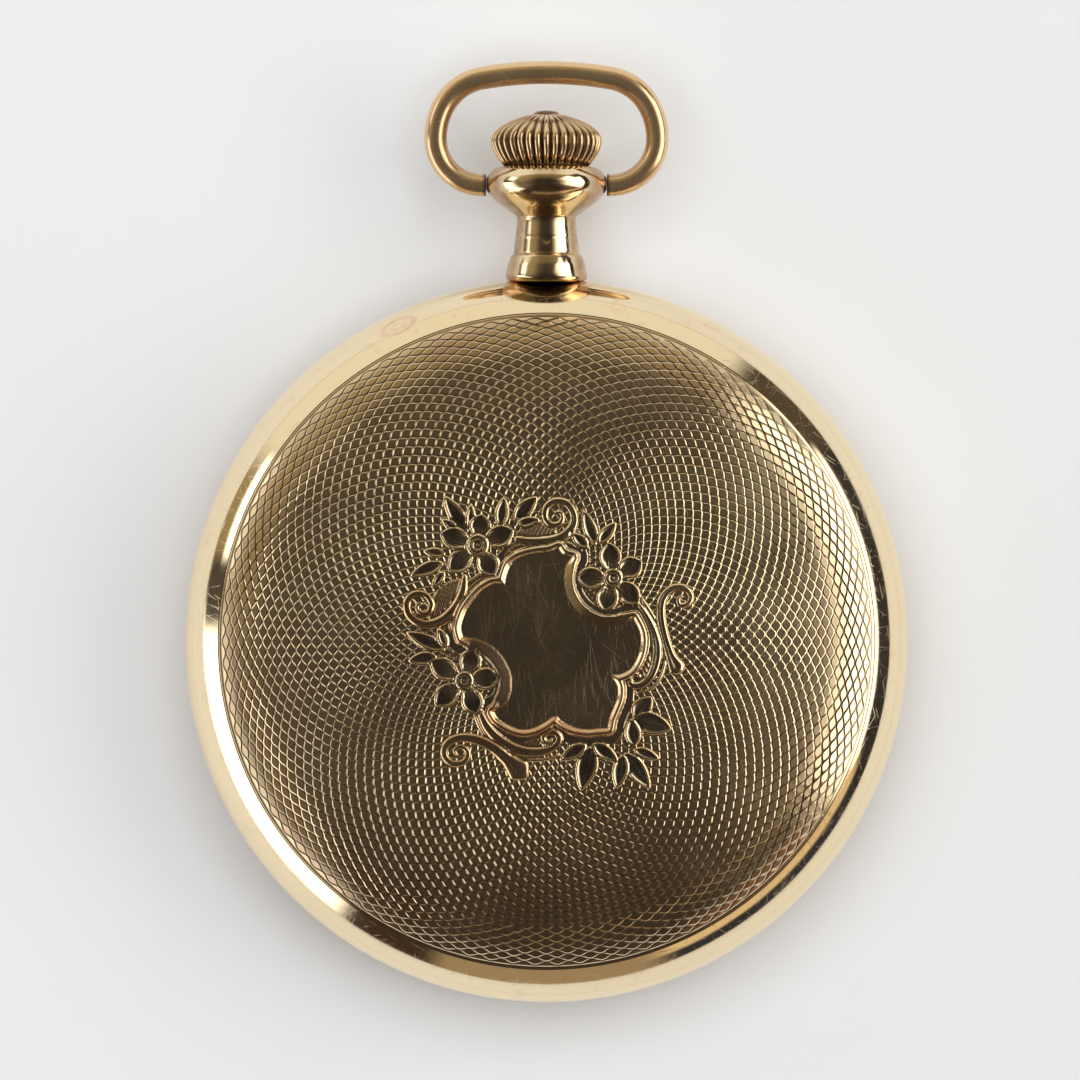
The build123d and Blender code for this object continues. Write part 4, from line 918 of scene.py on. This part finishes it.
def bezel():
    roll = arc((22.75, 3.55), 2.25, 0, -98, 22)
    roll = [(min(r, 25.0), max(z, 0.82)) for r, z in roll]
    lip = [
        (21.95, 0.92), (21.85, 1.1), (21.85, 1.72), (20.9, 1.72), (20.9, 2.4), (21.9, 2.6),
        (23.0, 2.85), (23.0, 4.35), (24.85, 4.35),
    ]
    profile = roll[:-1] + softened([roll[-1]] + lip + [roll[0]], CORNER, 3)[:-1]
    new_piece("bezel_ring", *lathe(profile, 360, ring=True), GOLD, "bezel", ["bezel"])


def crystal():
    profile = [
        (0, 0.004), (17.4, 0.004), (17.6, 0.02), (21.7, 0.8), (21.8, 0.9), (21.8, 1.6), (21.7, 1.66),
        (17.4, 1.0), (0, 1.0),
    ]
    verts, faces = lathe(softened(profile, 0.15))
    new_piece("crystal_disc", verts, faces, GLASS, "bezel", ["crystal"], "glass", sharp=50)


case_band()
bezel()
crystal()


# ---- pendant, crown and bow; outlines are (radius, distance from the middle of the case)
FLUTES = 36
BALL_FLAT = 4.2  # half width across the filed sides of the pendant's ball
BOW_ARCS = ((3.25, 90, 26), (5.0, 25, 10), (3.78, 55, 18))  # radius, degrees, steps
BOW_CREST = 10  # degrees that the flat crest arc turns each side


def pendant():
    """Turned neck and ball; the sides of the ball are filed flat where the bow sits."""
    foot = [
        (0, 24.9), (1.9, 24.93), (2.45, 25.02), (2.74, 25.18), (2.86, 25.42), (2.84, 25.62), (2.7, 26.3),
        (2.53, 26.78), (2.45, 26.93), (2.36, 26.98), (2.31, 27.06),
    ]
    head = [
        (2.04, 29.4), (2.1, 29.66), (2.55, 29.98), (3.05, 30.32), (3.55, 30.72), (3.95, 31.12),
        (4.18, 31.46), (4.27, 31.8), (4.26, 32.1), (4.16, 32.42), (3.98, 32.66), (3.72, 32.92),
        (3.52, 33.06), (3.38, 33.08), (3.28, 33.0), (3.25, 32.8), (3.25, 32.5), (1.0, 32.48), (0, 32.48),
    ]
    neck = [(2.31 - 0.118 * (y - 27.06), y) for y in np.arange(27.2, 29.3, 0.07)]
    verts, faces = lathe(softened(foot, 0.12, 3) + neck + softened(head, 0.2, 4), 360)
    x, y, z = verts.T
    x[:] = np.clip(x, -BALL_FLAT, BALL_FLAT)
    dimple = 0.07 * np.clip(1 - (np.hypot(x, z - 28.0) / 0.36) ** 2, 0, 1)
    y += np.where(y < 0, dimple, 0)
    reach = np.hypot(x, y)
    joint = 0.02 * bell(z, 28.2, 0.05) * (reach > 1.5)
    verts[:, :2] *= (1 - joint / 2.2)[:, None]
    obj = new_piece("pendant_body", upright(verts), faces, GOLD_PENDANT, "case", ["pendant"])
    # painted reflection: coppery on the sides and down the middle, where the metal reflects darker
    # surroundings; darker at the two steps of the neck; painted shade on the collar's underside next to
    # the band
    side = np.abs(x) / np.maximum(reach, 0.1)
    flank, middle = ramp01(side, 0.62, 0.2) * 0.95, ramp01(side, 0.30, -0.14) * 0.55
    crease = bell(z, 27.0, 0.12) + bell(z, 29.5, 0.2)
    copper = np.clip(flank + middle + 0.6 * crease, 0, 1)
    add_attributes(obj, copper=copper, soot=ramp01(z, 25.12, -0.15))


def crown():
    """Flattened bun with rounded flutes that fade at both ends, and a small cap."""
    outline = [
        (0, 32.95), (2.3, 32.95), (2.75, 33.02), (3.1, 33.3), (3.42, 33.7), (3.72, 34.2), (3.9, 34.75),
        (3.86, 35.2), (3.66, 35.55), (3.3, 35.88), (2.8, 36.2), (2.2, 36.46), (1.6, 36.66), (1.15, 36.76),
        (0.92, 36.8), (0.86, 36.9), (0.72, 37.0), (0.4, 37.06), (0, 37.07),
    ]
    verts, faces = lathe(softened(outline, 0.25, 4), FLUTES * 14)
    x, y, z = verts.T
    radius = np.hypot(x, y)
    wave = np.abs(np.cos(FLUTES * np.arctan2(y, x) / 2))
    rise = ramp01(z, 33.05, 0.3) * ramp01(z, 36.85, -0.12)
    strength = 0.36 * rise * np.clip(radius / 2.8, 0.3, 1.0)
    scale = np.where(radius > 0.5, 1 - strength * (1 - wave) ** 1.2 / np.maximum(radius, 0.5), 1)
    verts[:, :2] *= scale[:, None]
    obj = new_piece("crown_fluted", upright(verts), faces, GOLD_FLUTED, "crown", ["crown"], sharp=None)
    # grime in the flute valleys, painted shade at the crown's foot above the pendant, and darker on the
    # small cap
    valley = np.clip(rise * (1 - wave) ** 1.3 * 1.35, 0, 1)
    cap = 0.75 * ramp01(radius, 1.3, -0.3)
    add_attributes(obj, groove=np.clip(valley + ramp01(z, 33.35, -0.3) + cap, 0, 1))


def bow_path():
    """Centreline of the bow in its own plane: straight stub, then arcs that meet at the top."""
    points = [np.array([4.22, 0.0]), np.array([4.5, 0.0])]
    heading = 0.0
    for radius, turn, steps in BOW_ARCS:
        centre = points[-1] + radius * np.array([-sin(heading), cos(heading)])
        for k in range(1, steps + 1):
            a = heading + radians(turn) * k / steps
            points.append(centre + radius * np.array([sin(a), -cos(a)]))
        heading += radians(turn)
    end, crest = points[-1], radians(BOW_CREST)
    crest_r = end[0] / sin(crest)
    centre = np.array([0.0, end[1] - crest_r * cos(crest)])
    for a in np.radians(np.linspace(90 - BOW_CREST, 90, 8)[1:]):
        points.append(centre + crest_r * np.array([cos(a), sin(a)]))
    right = np.array(points)
    return np.vstack([right, right[:-1][::-1] * [-1, 1]])


def bow(around=28):
    """Round wire along the path, a little thinner at its ends, which are chamfered."""
    path = bow_path()
    step = np.gradient(path, axis=0)
    step /= np.linalg.norm(step, axis=1)[:, None]
    side = np.column_stack([step[:, 1], -step[:, 0]])
    turn = np.linspace(0, TAU, around, endpoint=False)
    size = BOW_WIRE_R * (0.965 + 0.045 * ramp01(path[:, 1], 1, 6))
    chamfer, chamfer_in = [0.05, 0], 0.07
    centres = np.vstack([path[:1], path[:1] + chamfer, path[1:-1], path[-1:] - chamfer, path[-1:]])
    sides = np.vstack([side[:1], side, side[-1:]])
    sizes = np.concatenate([[size[0] - chamfer_in], size, [size[-1] - chamfer_in]])
    verts = []
    for centre, across, r in zip(centres, sides, sizes):
        for a in turn:
            x, y = centre + across * r * cos(a)
            verts.append((x, y + BOW_Y, STEM_Z + r * sin(a)))
    count = len(centres)
    faces = ring_quads(count, around, closed=False)[:, [0, 3, 2, 1]].tolist()
    faces.append(tuple(range(around)))
    faces.append(tuple((count - 1) * around + k for k in reversed(range(around))))
    obj = new_piece("bow_loop", verts, faces, GOLD_BOW, "bow", ["bow"], sharp=50)
    # painted shade: coppery on the inner side of the loop; the last rings at each end are dark joint lines
    # against the pendant
    from_end = np.minimum(np.arange(count), np.arange(count)[::-1])
    inner = np.clip(-np.tile(np.cos(turn), (count, 1)) - 0.45, 0, 0.5)
    add_attributes(obj, soot=np.repeat(0.9 * (from_end < 2), around), copper=inner.ravel() * 1.4)


pendant()
crown()
bow()


# ---- dial printing
DIAL_Z = 3.3
PRINT_T = 0.02  # half the thickness of the print
SECONDS = np.array([0, -10.5])  # centre of the seconds ring


def flat_ring(inner, outer, at=(0, 0), count=240):
    low, high = DIAL_Z - PRINT_T, DIAL_Z + PRINT_T
    verts, faces = lathe([(inner, low), (outer, low), (outer, high), (inner, high)], count, ring=True)
    return verts + [*at, 0], faces


def clock_point(radius, turn):
    """Plan position turned clockwise from twelve, in degrees, as seen through the crystal."""
    a = radians(turn)
    return np.array([-sin(a), cos(a)]) * radius


def mark(radius, length, width, turn, at=(0, 0)):
    """One tick."""
    out = clock_point(1, turn)
    side = np.array([out[1], -out[0]]) * width / 2
    near, far = out * radius, out * (radius + length)
    corners = [near - side, near + side, far + side, far - side]
    verts = [(*(c + at), z) for z in (DIAL_Z - PRINT_T, DIAL_Z + PRINT_T) for c in corners]
    faces = [(0, 1, 2, 3), (7, 6, 5, 4), (0, 4, 5, 1), (1, 5, 6, 2), (2, 6, 7, 3), (3, 7, 4, 0)]
    return np.array(verts), faces


def numeral(text, size, place):
    """A printed number as closed mesh data, upright as read through the crystal."""
    curve = bpy.data.curves.new("numeral", "FONT")
    curve.body = text
    curve.size = size
    curve.align_x = curve.align_y = "CENTER"
    curve.extrude = PRINT_T
    curve.offset = 0.01 * size
    obj = new_object("numeral", curve)
    bpy.context.view_layer.update()
    mesh = bpy.data.meshes.new_from_object(obj)
    x, y, z = np.array([v.co for v in mesh.vertices]).T
    faces = [tuple(f.vertices) for f in mesh.polygons]
    bpy.data.objects.remove(obj)
    bpy.data.curves.remove(curve)
    bpy.data.meshes.remove(mesh)
    return np.column_stack([place[0] - x, place[1] + y * 1.15, DIAL_Z - z]), faces


def joined(parts):
    """One mesh from several."""
    verts, faces, start = [], [], 0
    for part_verts, part_faces in parts:
        verts.append(part_verts)
        faces += [tuple(i + start for i in face) for face in part_faces]
        start += len(part_verts)
    return np.vstack(verts), faces


def dial_printing():
    """Minute track and hours, and the small seconds with its own track."""
    parts = [flat_ring(19.0, 19.06), flat_ring(20.3, 20.36)]
    for minute in range(60):
        parts.append(mark(19.06, 1.24, 0.09 if minute % 5 else 0.26, minute * 6))
    for hour in range(1, 13):
        if hour != 6:
            parts.append(numeral(str(hour), 4.3, clock_point(16.3, hour * 30)))
    parts += [flat_ring(4.35, 4.39, SECONDS, 120), flat_ring(4.95, 4.99, SECONDS, 120)]
    for second in range(60):
        parts.append(mark(4.39, 0.56, 0.05 if second % 5 else 0.12, second * 6, SECONDS))
    for ten in range(1, 7):
        parts.append(numeral(str(ten * 10), 1.25, SECONDS + clock_point(3.6, ten * 60)))
    new_piece("dial_printing", *joined(parts), PRINT, "case", slot="enamel", sharp=40)


dial_printing()


# ---- carried-over parts
FINISH = {
    "glass": GLASS, "enamel": ENAMEL, "blued_steel": BLUED, "nickel": NICKEL,
    "steel": STEEL, "brass": BRASS, "ruby": RUBY, "gold": GOLD,
}
GRAINED = ("ratchet_wheel", "crown_wheel", "mainspring")
slots = {part["node"]: part["material_slot"] for part in frame["record"]["subparts"]}
for node, obj in frame["nodes"].items():
    for slot in obj.material_slots:
        slot.material = STEEL_GRAIN if node in GRAINED else FINISH[slots[node]]


# ---- floor, light and camera
FLOOR_HALF = 1.5  # metres
CAMERA_DISTANCE = 0.62  # above the case, metres
CASE_PLANE = 6.3 * MM  # height at which the view's width is measured
VIEW_WIDTH = 75.45 * MM
VIEW_CENTRE = (-0.45 * MM, 7.04 * MM)
SENSOR = 36
ROOM_ZENITH = rgb(0.042, 0.037, 0.034)
ROOM_LOW = rgb(0.185, 0.15, 0.105)
# What the gold reflects. Azimuth and half width, upper and lower end as the angle from straight up,
# softness of the sides and of the upper end, radiance
ROOM = [
    (112, 62, 42, 91, 16, 16, (0.34, 0.27, 0.15)),
    (100, 48, 66, 91, 5, 7, (0.86, 0.83, 0.74)),
    (270, 44, 20, 91, 12, 12, (0.045, 0.034, 0.026)),
    (205, 30, 67, 91, 4, 10, (2.05, 2.0, 1.95)),
    (158, 11, 66, 80, 2, 6, (2.05, 2.0, 1.95)),
    (10, 38, 40, 77, 6, 17, (2.6, 2.5, 2.3)),
    (0, 36, 77, 91, 3, 2, (0.035, 0.033, 0.035)),
    (44, 10, 62, 91, 3, 6, (0.09, 0.07, 0.05)),
    (172, 6, 70, 89, 2, 3, (0.08, 0.07, 0.06)),
    (241, 8, 40, 91, 3, 10, (0.05, 0.03, 0.022)),
    (275, 24, 72, 91, 3, 2, (0.34, 0.26, 0.17)),
    (312, 14, 60, 76, 5, 6, (0.20, 0.10, 0.07)),
    (314, 24, 74, 81, 4, 2, (0.75, 0.58, 0.36)),
    (312, 22, 82, 91, 4, 1, (0.035, 0.035, 0.045)),
]


def floor():
    n = Nodes("floor_pale")
    tone = n.mix(n.patches(0.012, 5.0, 0.35, 0.75), rgb(0.825, 0.84, 0.87), rgb(0.785, 0.80, 0.83))
    mesh = bpy.data.meshes.new("floor")
    corners = [(x * FLOOR_HALF, y * FLOOR_HALF, 0) for x, y in ((-1, -1), (1, -1), (1, 1), (-1, 1))]
    mesh.from_pydata(corners, [], [(0, 1, 2, 3)])
    mesh.materials.append(n.finish(tone, 0.75, Specular_IOR_Level=0.2))
    obj = new_object("floor", mesh)
    obj.location.z = -0.0001


def soft_light(name, azimuth, lean, distance, size, power, colour):
    """Square area light aimed at the watch but not seen in it; lean is the angle from straight up."""
    light = bpy.data.lights.new(name, "AREA")
    light.shape = "SQUARE"
    light.size = size
    light.energy = power
    light.color = colour
    obj = new_object(name, light)
    a, b = radians(azimuth), radians(lean)
    spot = Vector((sin(b) * cos(a), sin(b) * sin(a), cos(b)))
    obj.location = spot * distance
    obj.rotation_euler = spot.to_track_quat("Z", "Y").to_euler()
    obj.visible_glossy = False


def world():
    """A dim room: bright windows right and left, a pale wall behind, dark furniture round the horizon."""
    room = bpy.data.worlds.new("room")
    bpy.context.scene.world = room
    room.use_nodes = True
    t = Tree(room.node_tree)
    direction = t.add("TexCoord").outputs["Generated"]
    x, y, z = t.add("SeparateXYZ", {0: direction}).outputs

    def edge(value, middle, half):
        return t.ramp(value, middle - half, middle + half, interpolation_type="SMOOTHSTEP")

    azimuth = t.math("DEGREES", t.math("ARCTAN2", y, x))
    lean = t.math("DEGREES", t.math("ARCCOSINE", z))
    colour = t.mix(edge(lean, 33, 25), ROOM_ZENITH, ROOM_LOW)
    for middle, half, upper, lower, soft_side, soft_end, tone in ROOM:
        offset = t.math("ABSOLUTE", t.math("WRAP", t.math("SUBTRACT", azimuth, middle), 180.0, -180.0))
        side = t.math("SUBTRACT", 1.0, edge(offset, half, soft_side))
        under = t.math("SUBTRACT", 1.0, edge(lean, lower, 1.5))
        mask = t.times(side, t.times(edge(lean, upper, soft_end), under))
        colour = t.mix(mask, colour, rgb(*tone))
    t.feed(room.node_tree.nodes["Background"].inputs["Color"], colour)


def camera():
    data = bpy.data.cameras.new("camera")
    obj = new_object("camera", data)
    data.sensor_width = SENSOR
    data.lens = SENSOR * CAMERA_DISTANCE / VIEW_WIDTH
    data.clip_start, data.clip_end = 0.01, 10
    obj.location = (*VIEW_CENTRE, CASE_PLANE + CAMERA_DISTANCE)
    bpy.context.scene.camera = obj


floor()
world()
camera()
soft_light("sky_panel", azimuth=120, lean=9, distance=1.0, size=1.1, power=8.4, colour=(0.955, 0.98, 1.0))
bpy.context.scene.view_settings.view_transform = "Standard"
